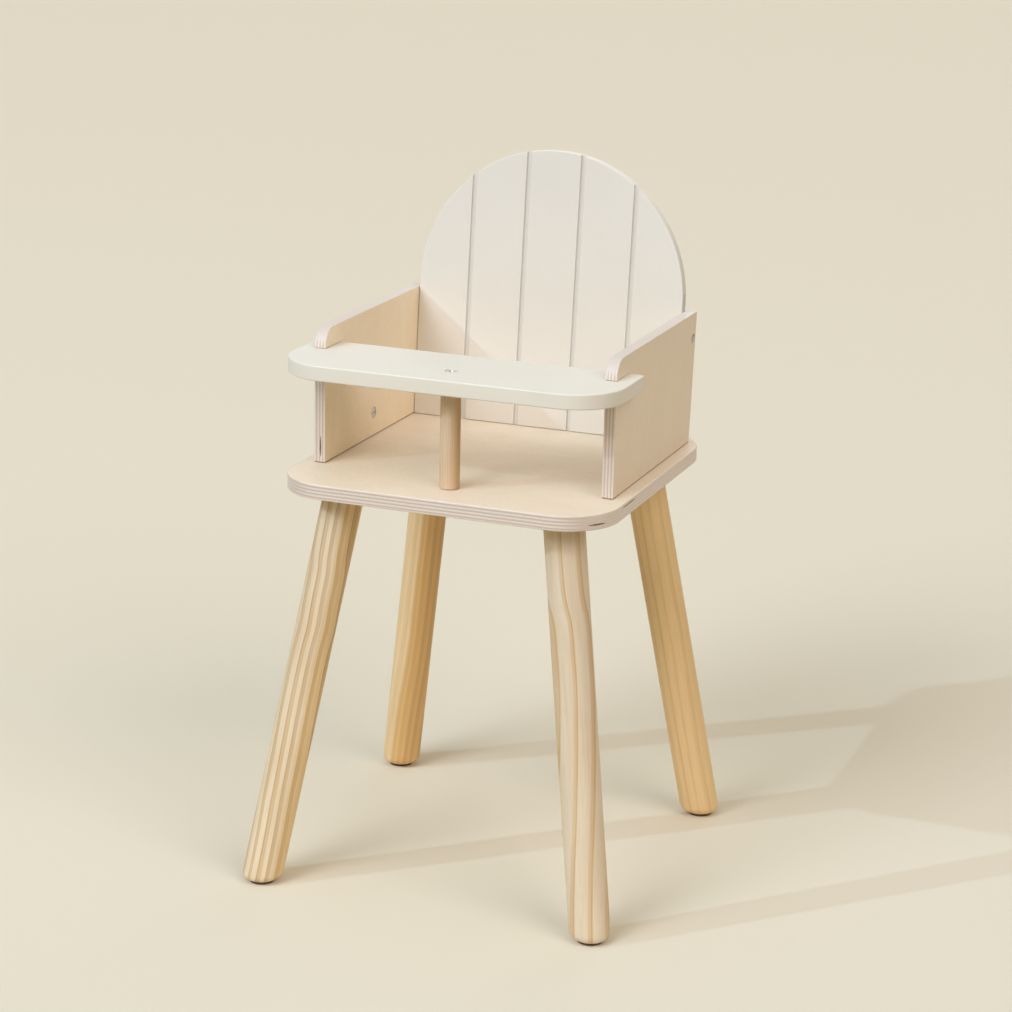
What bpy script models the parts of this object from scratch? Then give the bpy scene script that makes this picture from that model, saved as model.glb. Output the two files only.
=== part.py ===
"""Doll high chair: a plywood seat on four splayed legs, with a fitted tray and a grooved back.

Lengths are in metres. The origin is on the floor under the middle of the chair, the chair
faces -Y and +Z is up. Left and right are those of a viewer who stands in front of it.
"""

from collections import namedtuple
import math

import bmesh
import bpy
from mathutils import Euler, Matrix, Vector

# Seat board
SEAT_WIDTH = 0.268
SEAT_DEPTH = 0.270
SEAT_THICKNESS = 0.012
SEAT_HEIGHT = 0.330
SEAT_CORNER_RADIUS = 0.043

# Side panels and the tilt that they share with the back
PANEL_THICKNESS = 0.009
PANEL_HEIGHT = 0.1065
PANEL_FRONT_SETBACK = 0.059
PANEL_REAR_SETBACK = 0.0245
PANEL_SIDE_SETBACK = 0.011
RECLINE = math.radians(4.75)

# Back panel
BACK_THICKNESS = 0.009
BACK_HEIGHT = 0.226
BACK_SETBACK = 0.002

# Tray and the post under it
TRAY_OVERHANG = 0.012
TRAY_DEPTH = 0.084
TRAY_THICKNESS = 0.012
TRAY_HEIGHT = 0.079
SLOT_DEPTH = 0.030
POST_DIAMETER = 0.0156
POST_SETBACK = 0.0365

# Legs and the pads under them
LEG_DIAMETER = 0.032
LEG_INSET = 0.0445
LEG_SPREAD = 0.049
PAD_DIAMETER = 0.0195
PAD_THICKNESS = 0.0022

# Fits
CLEARANCE = 0.0003
CUT_OVERRUN = 0.002
CHAMFER_SHARE = 0.25

# Places that follow from the sizes above
SEAT_BOTTOM = SEAT_HEIGHT - SEAT_THICKNESS
SEAT_FRONT = -SEAT_DEPTH / 2
PANEL_FRONT = SEAT_FRONT + PANEL_FRONT_SETBACK
PANEL_REAR = SEAT_DEPTH / 2 - PANEL_REAR_SETBACK
PANEL_FOOT = SEAT_HEIGHT + CLEARANCE
PANELS_WIDTH = SEAT_WIDTH - 2 * PANEL_SIDE_SETBACK
SEAT_SPACE = PANELS_WIDTH - 2 * PANEL_THICKNESS
TRAY_WIDTH = PANELS_WIDTH + 2 * TRAY_OVERHANG
TRAY_BOTTOM = SEAT_HEIGHT + TRAY_HEIGHT
TRAY_TOP = TRAY_BOTTOM + TRAY_THICKNESS
SLOT_END = PANEL_FRONT + SLOT_DEPTH
POST_Y = SEAT_FRONT + POST_SETBACK
BACK_WIDTH = SEAT_SPACE - 2 * CLEARANCE
BACK_FOOT = Vector((0, PANEL_REAR - BACK_SETBACK, SEAT_HEIGHT + CLEARANCE))
BACK_TURN = Euler((math.pi / 2 - RECLINE, 0, 0))
PANEL_TURN = Euler((math.pi / 2, 0, math.pi / 2))

SIDES = {"left": -1, "right": 1}
CORNER_SIGNS = ((1, 1), (-1, 1), (-1, -1), (1, -1))
UP = Vector((0, 0, 1))
DOWN = -UP

# How finely round work is faceted
LEG_SIDES = 40
POST_SIDES = 28
HOLE_SIDES = 20
PIN_SIDES = 12
HEX_SIDES = 6
CORNER_STEPS = 9
ARCH_STEPS = 24
EDGE_STEPS = 2
SHARP_ANGLE = math.radians(30)
SAME_POINT = 0.000001


# Materials

def finish(name, color, roughness, metallic=0.0):
    """One plain finish for a kind of piece."""
    material = bpy.data.materials.new(name)
    material.use_nodes = True
    shader = material.node_tree.nodes["Principled BSDF"]
    shader.inputs["Base Color"].default_value = (*color, 1)
    shader.inputs["Roughness"].default_value = roughness
    shader.inputs["Metallic"].default_value = metallic
    return material


def make_finishes():
    """The finishes that the chair's pieces share."""
    return {
        "birch_ply": finish("birch_ply", (0.75, 0.59, 0.41), 0.5),
        "white_paint": finish("white_paint", (0.80, 0.76, 0.67), 0.45),
        "pine": finish("pine", (0.74, 0.53, 0.30), 0.5),
        "beech": finish("beech", (0.68, 0.49, 0.31), 0.6),
        "steel": finish("steel", (0.62, 0.62, 0.64), 0.3, 1.0),
        "dark_rubber": finish("dark_rubber", (0.025, 0.021, 0.018), 0.8),
    }


# Tools of the trade: outlines, boards, bars, turned pieces and holes

def add_piece(name, bm, material, location=(0, 0, 0), rotation=(0, 0, 0)):
    """Turn a finished mesh into a named object under the chair's own empty."""
    bmesh.ops.recalc_face_normals(bm, faces=bm.faces[:])
    mesh = bpy.data.meshes.new(name)
    bm.to_mesh(mesh)
    bm.free()
    mesh.materials.append(material)
    mesh.shade_smooth()
    mesh.set_sharp_from_angle(angle=SHARP_ANGLE)
    return place_mesh(name, mesh, location, rotation)


def place_mesh(name, mesh, location=(0, 0, 0), rotation=(0, 0, 0)):
    """Put a mesh in the scene as its own object."""
    piece = bpy.data.objects.new(name, mesh)
    piece.location = location
    piece.rotation_euler = rotation
    piece.parent = bpy.data.objects["doll_high_chair"]
    bpy.context.scene.collection.objects.link(piece)
    return piece


def round_corner(before, corner, after, radius, steps):
    """Points of the arc that rounds one corner of a flat outline."""
    if radius == 0:
        return [corner]
    to_before = (before - corner).normalized()
    to_after = (after - corner).normalized()
    half = to_before.angle(to_after) / 2
    middle = corner + (to_before + to_after).normalized() * (radius / math.sin(half))
    reach = radius / math.tan(half)
    first = corner + to_before * reach - middle
    last = corner + to_after * reach - middle
    sweep = first.angle_signed(last)
    return [middle + Matrix.Rotation(-sweep * step / steps, 2) @ first for step in range(steps + 1)]


def rounded_outline(corners, steps=CORNER_STEPS):
    """Points of a closed outline. Each corner is (x, y, radius)."""
    points = []
    for index, (x, y, radius) in enumerate(corners):
        before = Vector(corners[index - 1][:2])
        after = Vector(corners[(index + 1) % len(corners)][:2])
        for point in round_corner(before, Vector((x, y)), after, radius, steps):
            if not points or (point - points[-1]).length > SAME_POINT:
                points.append(point)
    return points


def raise_board(points, thickness):
    """A flat board with the outline in its own XY plane and its thickness along Z."""
    bm = bmesh.new()
    face = bm.faces.new([bm.verts.new((point.x, point.y, 0)) for point in points])
    raised = bmesh.ops.extrude_face_region(bm, geom=[face])["geom"]
    top = [item for item in raised if isinstance(item, bmesh.types.BMVert)]
    bmesh.ops.translate(bm, verts=top, vec=(0, 0, thickness))
    bmesh.ops.recalc_face_normals(bm, faces=bm.faces[:])
    return bm


def soften_edges(bm, width, steps=EDGE_STEPS):
    """Round every sharp edge of a board or a bar."""
    sharp = [edge for edge in bm.edges if edge.calc_face_angle(0) > SHARP_ANGLE]
    round_edges(bm, sharp, width, steps)


def round_edges(bm, edges, width, steps):
    """Round the given edges to an arc."""
    bmesh.ops.bevel(bm, geom=edges, offset=width, offset_type="OFFSET", segments=steps,
                    profile=0.5, affect="EDGES", material=-1, clamp_overlap=True)


def trim(bm, point, outwards):
    """Cut off what lies beyond a plane, close the cut and return its edges."""
    geometry = bm.verts[:] + bm.edges[:] + bm.faces[:]
    cut = bmesh.ops.bisect_plane(bm, geom=geometry, plane_co=point, plane_no=outwards,
                                 clear_outer=True)["geom_cut"]
    rim = [item for item in cut if isinstance(item, bmesh.types.BMEdge)]
    bmesh.ops.contextual_create(bm, geom=rim)
    return rim


def add_turned(bm, profile, start, direction, steps=HOLE_SIDES):
    """Turn a profile of (radius, distance along the axis) points into a closed body."""
    side = direction.orthogonal().normalized()
    points = [bm.verts.new(start + direction * along + side * radius) for radius, along in profile]
    edges = [bm.edges.new(pair) for pair in zip(points, points[1:])]
    bmesh.ops.spin(bm, geom=points + edges, cent=start, axis=direction, angle=math.tau,
                   steps=steps, use_merge=True, use_duplicate=False)
    bmesh.ops.remove_doubles(bm, verts=bm.verts[:], dist=SAME_POINT)


def turn_profile(profile, steps=HOLE_SIDES):
    """A turned piece by itself, with its axis on Z and its start at the origin."""
    bm = bmesh.new()
    add_turned(bm, profile, Vector((0, 0, 0)), UP, steps)
    return bm


def turn_bar(start, end, radius, steps):
    """A plain round bar between two points."""
    bm = bmesh.new()
    length = (end - start).length
    profile = [(0, 0), (radius, 0), (radius, length), (0, length)]
    add_turned(bm, profile, start, (end - start).normalized(), steps)
    return bm


def point_along(direction):
    """The rotation that lays a turned piece's axis along a direction."""
    return direction.to_track_quat("Z", "Y").to_euler()


def bore(face, inwards, *steps):
    """A hole into a face, stepped or straight. Each step is its radius and how deep it ends."""
    profile = [(0, -CUT_OVERRUN)]
    depth = -CUT_OVERRUN
    for radius, end in steps:
        profile += [(radius, depth), (radius, end)]
        depth = end
    return face, inwards, profile + [(0, depth)]


def drill(target, name, holes, sides=HOLE_SIDES):
    """Drill holes given in world coordinates, each a face point, a way in and a profile."""
    bm = bmesh.new()
    for face, inwards, profile in holes:
        add_turned(bm, profile, face, inwards, sides)
    cut(target, bm, f"{target.name}_{name}")


def cut(target, bm, name):
    """Cut closed tool shapes, given in world coordinates, out of a piece."""
    bm.normal_update()
    bmesh.ops.recalc_face_normals(bm, faces=bm.faces[:])
    mesh = bpy.data.meshes.new(name)
    bm.to_mesh(mesh)
    bm.free()
    tool = place_mesh(name, mesh)
    tool.hide_render = True
    tool.display_type = "WIRE"
    modifier = target.modifiers.new(name, "BOOLEAN")
    modifier.operation = "DIFFERENCE"
    modifier.solver = "EXACT"
    modifier.object = tool


# Seat board: 12 mm birch plywood with large rounded corners

SEAT_EDGE_ROUND = 0.001


def make_seat(finishes):
    """The seat board, drilled from below for everything that stands on or hangs under it."""
    x = SEAT_WIDTH / 2
    y = SEAT_DEPTH / 2
    corners = [(sx * x, sy * y, SEAT_CORNER_RADIUS) for sx, sy in CORNER_SIGNS]
    bm = raise_board(rounded_outline(corners), SEAT_THICKNESS)
    soften_edges(bm, SEAT_EDGE_ROUND)
    seat = add_piece("seat_board", bm, finishes["birch_ply"], (0, 0, SEAT_BOTTOM))
    holes = [insert_hole(place) for place in leg_places()]
    holes += [panel_bolt_seat_hole(side) for side in SIDES.values()]
    holes.append(countersunk_hole(POST_SCREW, SEAT_BOTTOM, UP, SEAT_THICKNESS))
    drill(seat, "holes", holes)
    pins = panel_pin_places() + back_pin_places()
    drill(seat, "pin_holes", [pin_seat_hole(foot) for foot in pins], PIN_SIDES)


# Side panels: 9 mm birch plywood, upright at the front, tilted at the rear, with a slot for
# the tray that is open to the front and leaves a rounded nose above it

PANEL_NOSE_RADIUS = 0.015
PANEL_EDGE_ROUND = 0.0006
SLOT_CORNER_RADIUS = 0.0015


def panel_outline():
    """Corners of a side panel as (y, z, radius), seen along the X axis."""
    top = SEAT_HEIGHT + PANEL_HEIGHT
    lean = PANEL_HEIGHT * math.tan(RECLINE)
    slot_floor = TRAY_BOTTOM - CLEARANCE
    slot_roof = TRAY_TOP + CLEARANCE
    return [
        (PANEL_FRONT, PANEL_FOOT, 0),
        (PANEL_REAR, PANEL_FOOT, 0),
        (PANEL_REAR + lean, top, 0),
        (PANEL_FRONT, top, min(PANEL_NOSE_RADIUS, top - slot_roof)),
        (PANEL_FRONT, slot_roof, 0),
        (SLOT_END, slot_roof, SLOT_CORNER_RADIUS),
        (SLOT_END, slot_floor, SLOT_CORNER_RADIUS),
        (PANEL_FRONT, slot_floor, 0),
    ]


def panel_middle(side):
    """The middle of a side panel's thickness along X."""
    return side * (SEAT_SPACE + PANEL_THICKNESS) / 2


def make_side_panel(finishes, label, side):
    """One side panel with its holes for the bolt, the pins, the nut and the back's screw."""
    bm = raise_board(rounded_outline(panel_outline()), PANEL_THICKNESS)
    soften_edges(bm, PANEL_EDGE_ROUND, 1)
    inner = side * SEAT_SPACE / 2
    near_face = min(inner, inner + side * PANEL_THICKNESS)
    name = f"side_panel_{label}"
    panel = add_piece(name, bm, finishes["birch_ply"], (near_face, 0, 0), PANEL_TURN)
    drill(panel, "bolt_hole", [bolt_panel_hole(side)])
    pins = panel_pin_places(side)
    drill(panel, "pin_holes", [pin_board_hole(foot) for foot in pins], PIN_SIDES)
    drill(panel, "cross_holes", [nut_hole(side), back_screw_panel_hole(side)])


# Back panel: 9 mm board, painted, round at the top, with four coves that part it into
# five planks. It stands tilted between the side panels and its foot is cut level.

BACK_EDGE_ROUND = 0.0012
PLANK_WIDTH = 0.0462
GROOVES = 4
GROOVE_WIDTH = 0.0046
GROOVE_DEPTH = 0.0017


def back_point(x, height, out):
    """World place of a point on the back: x, height up the board, distance out of its rear."""
    return BACK_FOOT + BACK_TURN.to_matrix() @ Vector((x, height, out))


def make_back(finishes):
    """The back panel with its arch, its coves and its holes."""
    x = BACK_WIDTH / 2
    foot = -BACK_THICKNESS * math.tan(RECLINE)
    corners = [(-x, foot, 0), (x, foot, 0), (x, BACK_HEIGHT, x), (-x, BACK_HEIGHT, x)]
    bm = raise_board(rounded_outline(corners, ARCH_STEPS), BACK_THICKNESS)
    down = BACK_TURN.to_matrix().inverted() @ DOWN
    trim(bm, (0, 0, 0), down)
    soften_edges(bm, BACK_EDGE_ROUND)
    back = add_piece("back_panel", bm, finishes["white_paint"], BACK_FOOT, BACK_TURN)
    drill(back, "grooves", [groove(index) for index in range(GROOVES)])
    drill(back, "pin_holes", [pin_board_hole(foot) for foot in back_pin_places()], PIN_SIDES)
    drill(back, "screw_holes", [back_screw_hole(side) for side in SIDES.values()], PIN_SIDES)


def groove(index):
    """The round tool that ploughs one cove up the whole front of the back."""
    radius = (GROOVE_WIDTH ** 2 / 4 + GROOVE_DEPTH ** 2) / (2 * GROOVE_DEPTH)
    x = (index - (GROOVES - 1) / 2) * PLANK_WIDTH
    out = BACK_THICKNESS - GROOVE_DEPTH + radius
    foot = back_point(x, -BACK_THICKNESS, out)
    up_board = back_point(x, 0, out) - foot
    return bore(foot, up_board.normalized(), (radius, BACK_HEIGHT + BACK_THICKNESS + CUT_OVERRUN))


# Tray: painted board that passes through both panels' slots and rests on the post

TRAY_CORNER_RADIUS = 0.041
TRAY_REAR_CORNER_RADIUS = 0.003
TRAY_EDGE_ROUND = 0.0022
TRAY_EDGE_STEPS = 3


def make_tray(finishes):
    """The tray board, round in front and straight behind, countersunk over the post."""
    x = TRAY_WIDTH / 2
    rear = SLOT_END - CLEARANCE
    front = rear - TRAY_DEPTH
    corners = [
        (x, rear, TRAY_REAR_CORNER_RADIUS),
        (-x, rear, TRAY_REAR_CORNER_RADIUS),
        (-x, front, TRAY_CORNER_RADIUS),
        (x, front, TRAY_CORNER_RADIUS),
    ]
    bm = raise_board(rounded_outline(corners), TRAY_THICKNESS)
    soften_edges(bm, TRAY_EDGE_ROUND, TRAY_EDGE_STEPS)
    tray = add_piece("tray_board", bm, finishes["white_paint"], (0, 0, TRAY_BOTTOM))
    drill(tray, "screw_hole", [countersunk_hole(TRAY_SCREW, TRAY_TOP, DOWN, TRAY_THICKNESS)])


# Post: a turned dowel, screwed from below through the seat and from above through the tray

POST_END_ROUND = 0.0008


def make_post(finishes):
    """The post between the seat and the tray."""
    foot = post_axis(SEAT_HEIGHT + CLEARANCE)
    head = post_axis(TRAY_BOTTOM - CLEARANCE)
    bm = turn_bar(Vector((0, 0, 0)), head - foot, POST_DIAMETER / 2, POST_SIDES)
    soften_edges(bm, POST_END_ROUND, 1)
    post = add_piece("tray_post", bm, finishes["pine"], foot)
    from_above = pilot_hole(TRAY_SCREW, head, DOWN, TRAY_TOP - head.z)
    from_below = pilot_hole(POST_SCREW, foot, UP, foot.z - SEAT_BOTTOM)
    drill(post, "screw_holes", [from_above, from_below])


# Legs: turned bars cut level under the seat and level with the floor, rounded at the foot

LEG_END_ROUND = 0.0065
LEG_END_STEPS = 6
PAD_EDGE_ROUND = 0.0004
LEG_LABELS = ("rear_right", "rear_left", "front_left", "front_right")


def leg_places():
    """The middle of each leg's top, under the seat, going round from the rear right."""
    x = SEAT_WIDTH / 2 - LEG_INSET
    y = SEAT_DEPTH / 2 - LEG_INSET
    return [Vector((sx * x, sy * y, 0)) for sx, sy in CORNER_SIGNS]


def leg_turn(index):
    """The turn about Z that points a leg's splay out of its own corner."""
    return Euler((0, 0, math.pi / 4 + index * math.pi / 2))


def shape_leg():
    """A leg that splays along its own +X axis, with its top at the origin."""
    top = SEAT_BOTTOM - CLEARANCE
    run = Vector((math.hypot(LEG_SPREAD, LEG_SPREAD), 0, -SEAT_BOTTOM))
    spare = run.normalized() * LEG_DIAMETER
    bm = turn_bar(-spare, run + spare, LEG_DIAMETER / 2, LEG_SIDES)
    trim(bm, (0, 0, 0), UP)
    foot_rim = trim(bm, (0, 0, PAD_THICKNESS + CLEARANCE - top), DOWN)
    round_edges(bm, foot_rim, LEG_END_ROUND, LEG_END_STEPS)
    return bm


def make_legs(finishes):
    """Four legs that share one shape, each turned to its corner and drilled for its bolt."""
    first = None
    for index, (label, place) in enumerate(zip(LEG_LABELS, leg_places())):
        name = f"leg_{label}"
        location = place + UP * (SEAT_BOTTOM - CLEARANCE)
        if first is None:
            first = add_piece(name, shape_leg(), finishes["pine"], location, leg_turn(index))
            leg = first
        else:
            leg = place_mesh(name, first.data, location, leg_turn(index))
        drill(leg, "bolt_hole", [leg_bolt_hole(place)])


def make_foot_pads(finishes):
    """A round pad under each leg, in the middle of the leg's level foot."""
    bm = turn_bar(Vector((0, 0, 0)), UP * PAD_THICKNESS, PAD_DIAMETER / 2, POST_SIDES)
    soften_edges(bm, PAD_EDGE_ROUND, 1)
    reach = LEG_SPREAD * (SEAT_BOTTOM - PAD_THICKNESS) / SEAT_BOTTOM
    shape = None
    for label, place in zip(LEG_LABELS, leg_places()):
        outwards = Vector((math.copysign(reach, place.x), math.copysign(reach, place.y), 0))
        name = f"foot_pad_{label}"
        if shape is None:
            shape = add_piece(name, bm, finishes["dark_rubber"], place + outwards).data
        else:
            place_mesh(name, shape, place + outwards)


# Leg fixings: a hanger bolt in each leg's top, and the threaded insert that takes it

LEG_BOLT_DIAMETER = 0.006
LEG_BOLT_IN_SEAT = 0.008
LEG_BOLT_IN_LEG = 0.026
LEG_BOLT_POINT = 0.003
INSERT_DIAMETER = 0.010
INSERT_LENGTH = 0.0092
INSERT_FLANGE_DIAMETER = 0.0125
INSERT_FLANGE_THICKNESS = 0.0012


def insert_hole(place):
    """The blind hole for an insert in the seat's underside, with the flange's recess."""
    flange_end = INSERT_FLANGE_THICKNESS + 2 * CLEARANCE
    return bore(place + UP * SEAT_BOTTOM, UP,
                (INSERT_FLANGE_DIAMETER / 2 + CLEARANCE, flange_end),
                (INSERT_DIAMETER / 2 + CLEARANCE, INSERT_LENGTH + 2 * CLEARANCE))


def leg_bolt_hole(place):
    """The pilot hole down into a leg's top."""
    radius = LEG_BOLT_DIAMETER / 2 + CLEARANCE
    return bore(place + UP * SEAT_BOTTOM, DOWN, (radius, LEG_BOLT_IN_LEG + CLEARANCE))


def make_leg_inserts(finishes):
    """Four inserts that share one turned shape."""
    inner = LEG_BOLT_DIAMETER / 2 + CLEARANCE
    outer = INSERT_DIAMETER / 2
    flange = INSERT_FLANGE_DIAMETER / 2
    profile = [
        (inner, 0),
        (flange, 0),
        (flange, INSERT_FLANGE_THICKNESS),
        (outer, INSERT_FLANGE_THICKNESS),
        (outer, INSERT_LENGTH),
        (inner, INSERT_LENGTH),
        (inner, 0),
    ]
    repeat_at_legs("leg_insert", turn_profile(profile), finishes["steel"], SEAT_BOTTOM + CLEARANCE)


def make_leg_bolts(finishes):
    """Four hanger bolts that share one turned shape, pointed where they enter the leg."""
    radius = LEG_BOLT_DIAMETER / 2
    length = LEG_BOLT_IN_LEG + LEG_BOLT_IN_SEAT
    chamfer = radius * CHAMFER_SHARE
    profile = [
        (0, 0),
        (radius, LEG_BOLT_POINT),
        (radius, length - chamfer),
        (radius - chamfer, length),
        (0, length),
    ]
    height = SEAT_BOTTOM - LEG_BOLT_IN_LEG
    repeat_at_legs("leg_bolt", turn_profile(profile), finishes["steel"], height)


def repeat_at_legs(kind, bm, material, height):
    """Place one shape at the middle of each leg's top."""
    shape = None
    for label, place in zip(LEG_LABELS, leg_places()):
        name = f"{kind}_{label}"
        location = place + UP * height
        if shape is None:
            shape = add_piece(name, bm, material, location).data
        else:
            place_mesh(name, shape, location)


# Panel fixings: a bolt up through the seat into a barrel nut, and a pin on each side of it

PANEL_BOLT_DIAMETER = 0.005
PANEL_BOLT_HEAD_DIAMETER = 0.0085
PANEL_BOLT_HEAD_THICKNESS = 0.0032
PANEL_BOLT_SUNK = 0.0002
PANEL_BOLT_PAST_NUT = 0.003
NUT_DIAMETER = 0.009
NUT_LENGTH = 0.0076
NUT_SUNK = 0.0003
NUT_HEIGHT = 0.0193
NUT_EDGE_ROUND = 0.0003
NUT_SLOT_WIDTH = 0.0014
NUT_SLOT_DEPTH = 0.0012
PIN_DIAMETER = 0.005
PIN_IN_SEAT = 0.008
PIN_IN_BOARD = 0.012
PIN_CHAMFER = 0.0006
PANEL_PIN_SPACING = 0.120


def panel_bolt_place(side):
    """The foot of a panel's bolt: mid depth and mid thickness of the panel."""
    return Vector((panel_middle(side), (PANEL_FRONT + PANEL_REAR) / 2, 0))


def panel_pin_places(only_side=None):
    """The feet of the panels' pins, before and behind the bolt."""
    sides = SIDES.values() if only_side is None else [only_side]
    reach = Vector((0, PANEL_PIN_SPACING / 2, 0))
    return [panel_bolt_place(side) + reach * way for side in sides for way in (-1, 1)]


def panel_bolt_seat_hole(side):
    """The head's pocket in the seat's underside and the hole on through the seat."""
    pocket_end = PANEL_BOLT_SUNK + PANEL_BOLT_HEAD_THICKNESS + CLEARANCE
    return bore(panel_bolt_place(side) + UP * SEAT_BOTTOM, UP,
                (PANEL_BOLT_HEAD_DIAMETER / 2 + CLEARANCE, pocket_end),
                (PANEL_BOLT_DIAMETER / 2 + CLEARANCE, SEAT_THICKNESS + CUT_OVERRUN))


def panel_bolt_tip():
    """The height of a panel bolt's tip, just past its nut."""
    return SEAT_HEIGHT + NUT_HEIGHT + NUT_DIAMETER / 2 + PANEL_BOLT_PAST_NUT


def bolt_panel_hole(side):
    """The bolt's hole up into a panel's foot, to just past its tip."""
    depth = panel_bolt_tip() + CLEARANCE - PANEL_FOOT
    radius = PANEL_BOLT_DIAMETER / 2 + CLEARANCE
    return bore(panel_bolt_place(side) + UP * PANEL_FOOT, UP, (radius, depth))


def nut_mouth(side):
    """Where a barrel nut's axis comes out of a panel's inner face."""
    place = panel_bolt_place(side)
    return Vector((side * SEAT_SPACE / 2, place.y, SEAT_HEIGHT + NUT_HEIGHT))


def nut_hole(side):
    """The blind hole for a barrel nut, from a panel's inner face."""
    outwards = Vector((side, 0, 0))
    depth = NUT_SUNK + NUT_LENGTH + CLEARANCE
    return bore(nut_mouth(side), outwards, (NUT_DIAMETER / 2 + CLEARANCE, depth))


def make_barrel_nut(finishes, label, side):
    """A barrel nut with its cross hole and the slot that shows on the panel's inner face."""
    outwards = Vector((side, 0, 0))
    radius = NUT_DIAMETER / 2
    edge = NUT_EDGE_ROUND
    profile = [
        (0, 0),
        (radius - edge, 0),
        (radius, edge),
        (radius, NUT_LENGTH - edge),
        (radius - edge, NUT_LENGTH),
        (0, NUT_LENGTH),
    ]
    face = nut_mouth(side) + outwards * NUT_SUNK
    name = f"barrel_nut_{label}"
    nut = add_piece(name, turn_profile(profile), finishes["steel"], face, point_along(outwards))
    below = panel_bolt_place(side) + UP * (face.z - NUT_DIAMETER)
    bolt_radius = PANEL_BOLT_DIAMETER / 2 + CLEARANCE
    drill(nut, "cross_hole", [bore(below, UP, (bolt_radius, 2 * NUT_DIAMETER))])
    cut(nut, slot_tool(face), f"{name}_slot")


def slot_tool(face):
    """A flat bar across the nut's face, level, half of it outside the nut."""
    bm = bmesh.new()
    size = Vector((2 * NUT_SLOT_DEPTH, NUT_DIAMETER + CUT_OVERRUN, NUT_SLOT_WIDTH))
    place = Matrix.Translation(face) @ Matrix.Diagonal(size).to_4x4()
    bmesh.ops.create_cube(bm, size=1, matrix=place)
    return bm


def make_panel_bolt(finishes, label, side):
    """A panel's bolt: a socket head under the seat and a shank up through the nut."""
    head = PANEL_BOLT_HEAD_DIAMETER / 2
    shank = PANEL_BOLT_DIAMETER / 2
    thick = PANEL_BOLT_HEAD_THICKNESS
    foot = SEAT_BOTTOM + PANEL_BOLT_SUNK
    length = panel_bolt_tip() - foot
    chamfer = shank * CHAMFER_SHARE
    profile = [
        (0, 0),
        (head - chamfer, 0),
        (head, chamfer),
        (head, thick),
        (shank, thick),
        (shank, length - chamfer),
        (shank - chamfer, length),
        (0, length),
    ]
    place = panel_bolt_place(side) + UP * foot
    bolt = add_piece(f"panel_bolt_{label}", turn_profile(profile), finishes["steel"], place)
    add_hex_socket(bolt, place, UP, PANEL_BOLT_HEAD_DIAMETER)


def pin_seat_hole(foot):
    """The blind hole for a pin in the seat's top."""
    radius = PIN_DIAMETER / 2 + CLEARANCE
    return bore(foot + UP * SEAT_HEIGHT, DOWN, (radius, PIN_IN_SEAT + CLEARANCE))


def pin_board_hole(foot):
    """The blind hole for a pin in the foot of an upright board."""
    radius = PIN_DIAMETER / 2 + CLEARANCE
    return bore(foot + UP * SEAT_HEIGHT, UP, (radius, PIN_IN_BOARD + CLEARANCE))


def make_pins(finishes, names, places):
    """Wooden pins that share one turned shape, upright in the joint."""
    radius = PIN_DIAMETER / 2
    length = PIN_IN_SEAT + PIN_IN_BOARD
    inner = radius - PIN_CHAMFER
    profile = [
        (0, 0),
        (inner, 0),
        (radius, PIN_CHAMFER),
        (radius, length - PIN_CHAMFER),
        (inner, length),
        (0, length),
    ]
    shape = None
    for name, foot in zip(names, places):
        location = foot + UP * (SEAT_HEIGHT - PIN_IN_SEAT)
        if shape is None:
            bm = turn_profile(profile, PIN_SIDES)
            shape = add_piece(name, bm, finishes["beech"], location).data
        else:
            place_mesh(name, shape, location)


# Back fixings: a screw through each side panel into the back's edge, and two pins below

BACK_SCREW_HEIGHT = 0.085
BACK_SCREW_DIAMETER = 0.004
BACK_SCREW_HEAD_DIAMETER = 0.008
BACK_SCREW_HEAD_THICKNESS = 0.0025
BACK_SCREW_SUNK = 0.0012
BACK_SCREW_LENGTH = 0.030
BACK_PIN_SPACING = 0.110


def back_screw_axis():
    """Where the back's screws run: y and z in the middle of the board's thickness."""
    up_board = (BACK_SCREW_HEIGHT - CLEARANCE) / math.cos(RECLINE)
    return back_point(0, up_board, BACK_THICKNESS / 2)


def back_screw_head(side):
    """The outer end of a back screw, sunk in its side panel."""
    axis = back_screw_axis()
    outer = SEAT_SPACE / 2 + PANEL_THICKNESS - BACK_SCREW_SUNK
    return Vector((side * outer, axis.y, axis.z))


def back_screw_panel_hole(side):
    """The head's pocket in a side panel's outer face and the hole on through the panel."""
    inwards = Vector((-side, 0, 0))
    face = back_screw_head(side) - inwards * BACK_SCREW_SUNK
    pocket_end = BACK_SCREW_SUNK + BACK_SCREW_HEAD_THICKNESS + CLEARANCE
    return bore(face, inwards,
                (BACK_SCREW_HEAD_DIAMETER / 2 + CLEARANCE, pocket_end),
                (BACK_SCREW_DIAMETER / 2 + CLEARANCE, PANEL_THICKNESS + CUT_OVERRUN))


def back_screw_hole(side):
    """The pilot hole in the back's edge."""
    depth = BACK_SCREW_LENGTH + CLEARANCE
    radius = BACK_SCREW_DIAMETER / 2 + CLEARANCE
    return bore(back_screw_head(side), Vector((-side, 0, 0)), (radius, depth))


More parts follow.
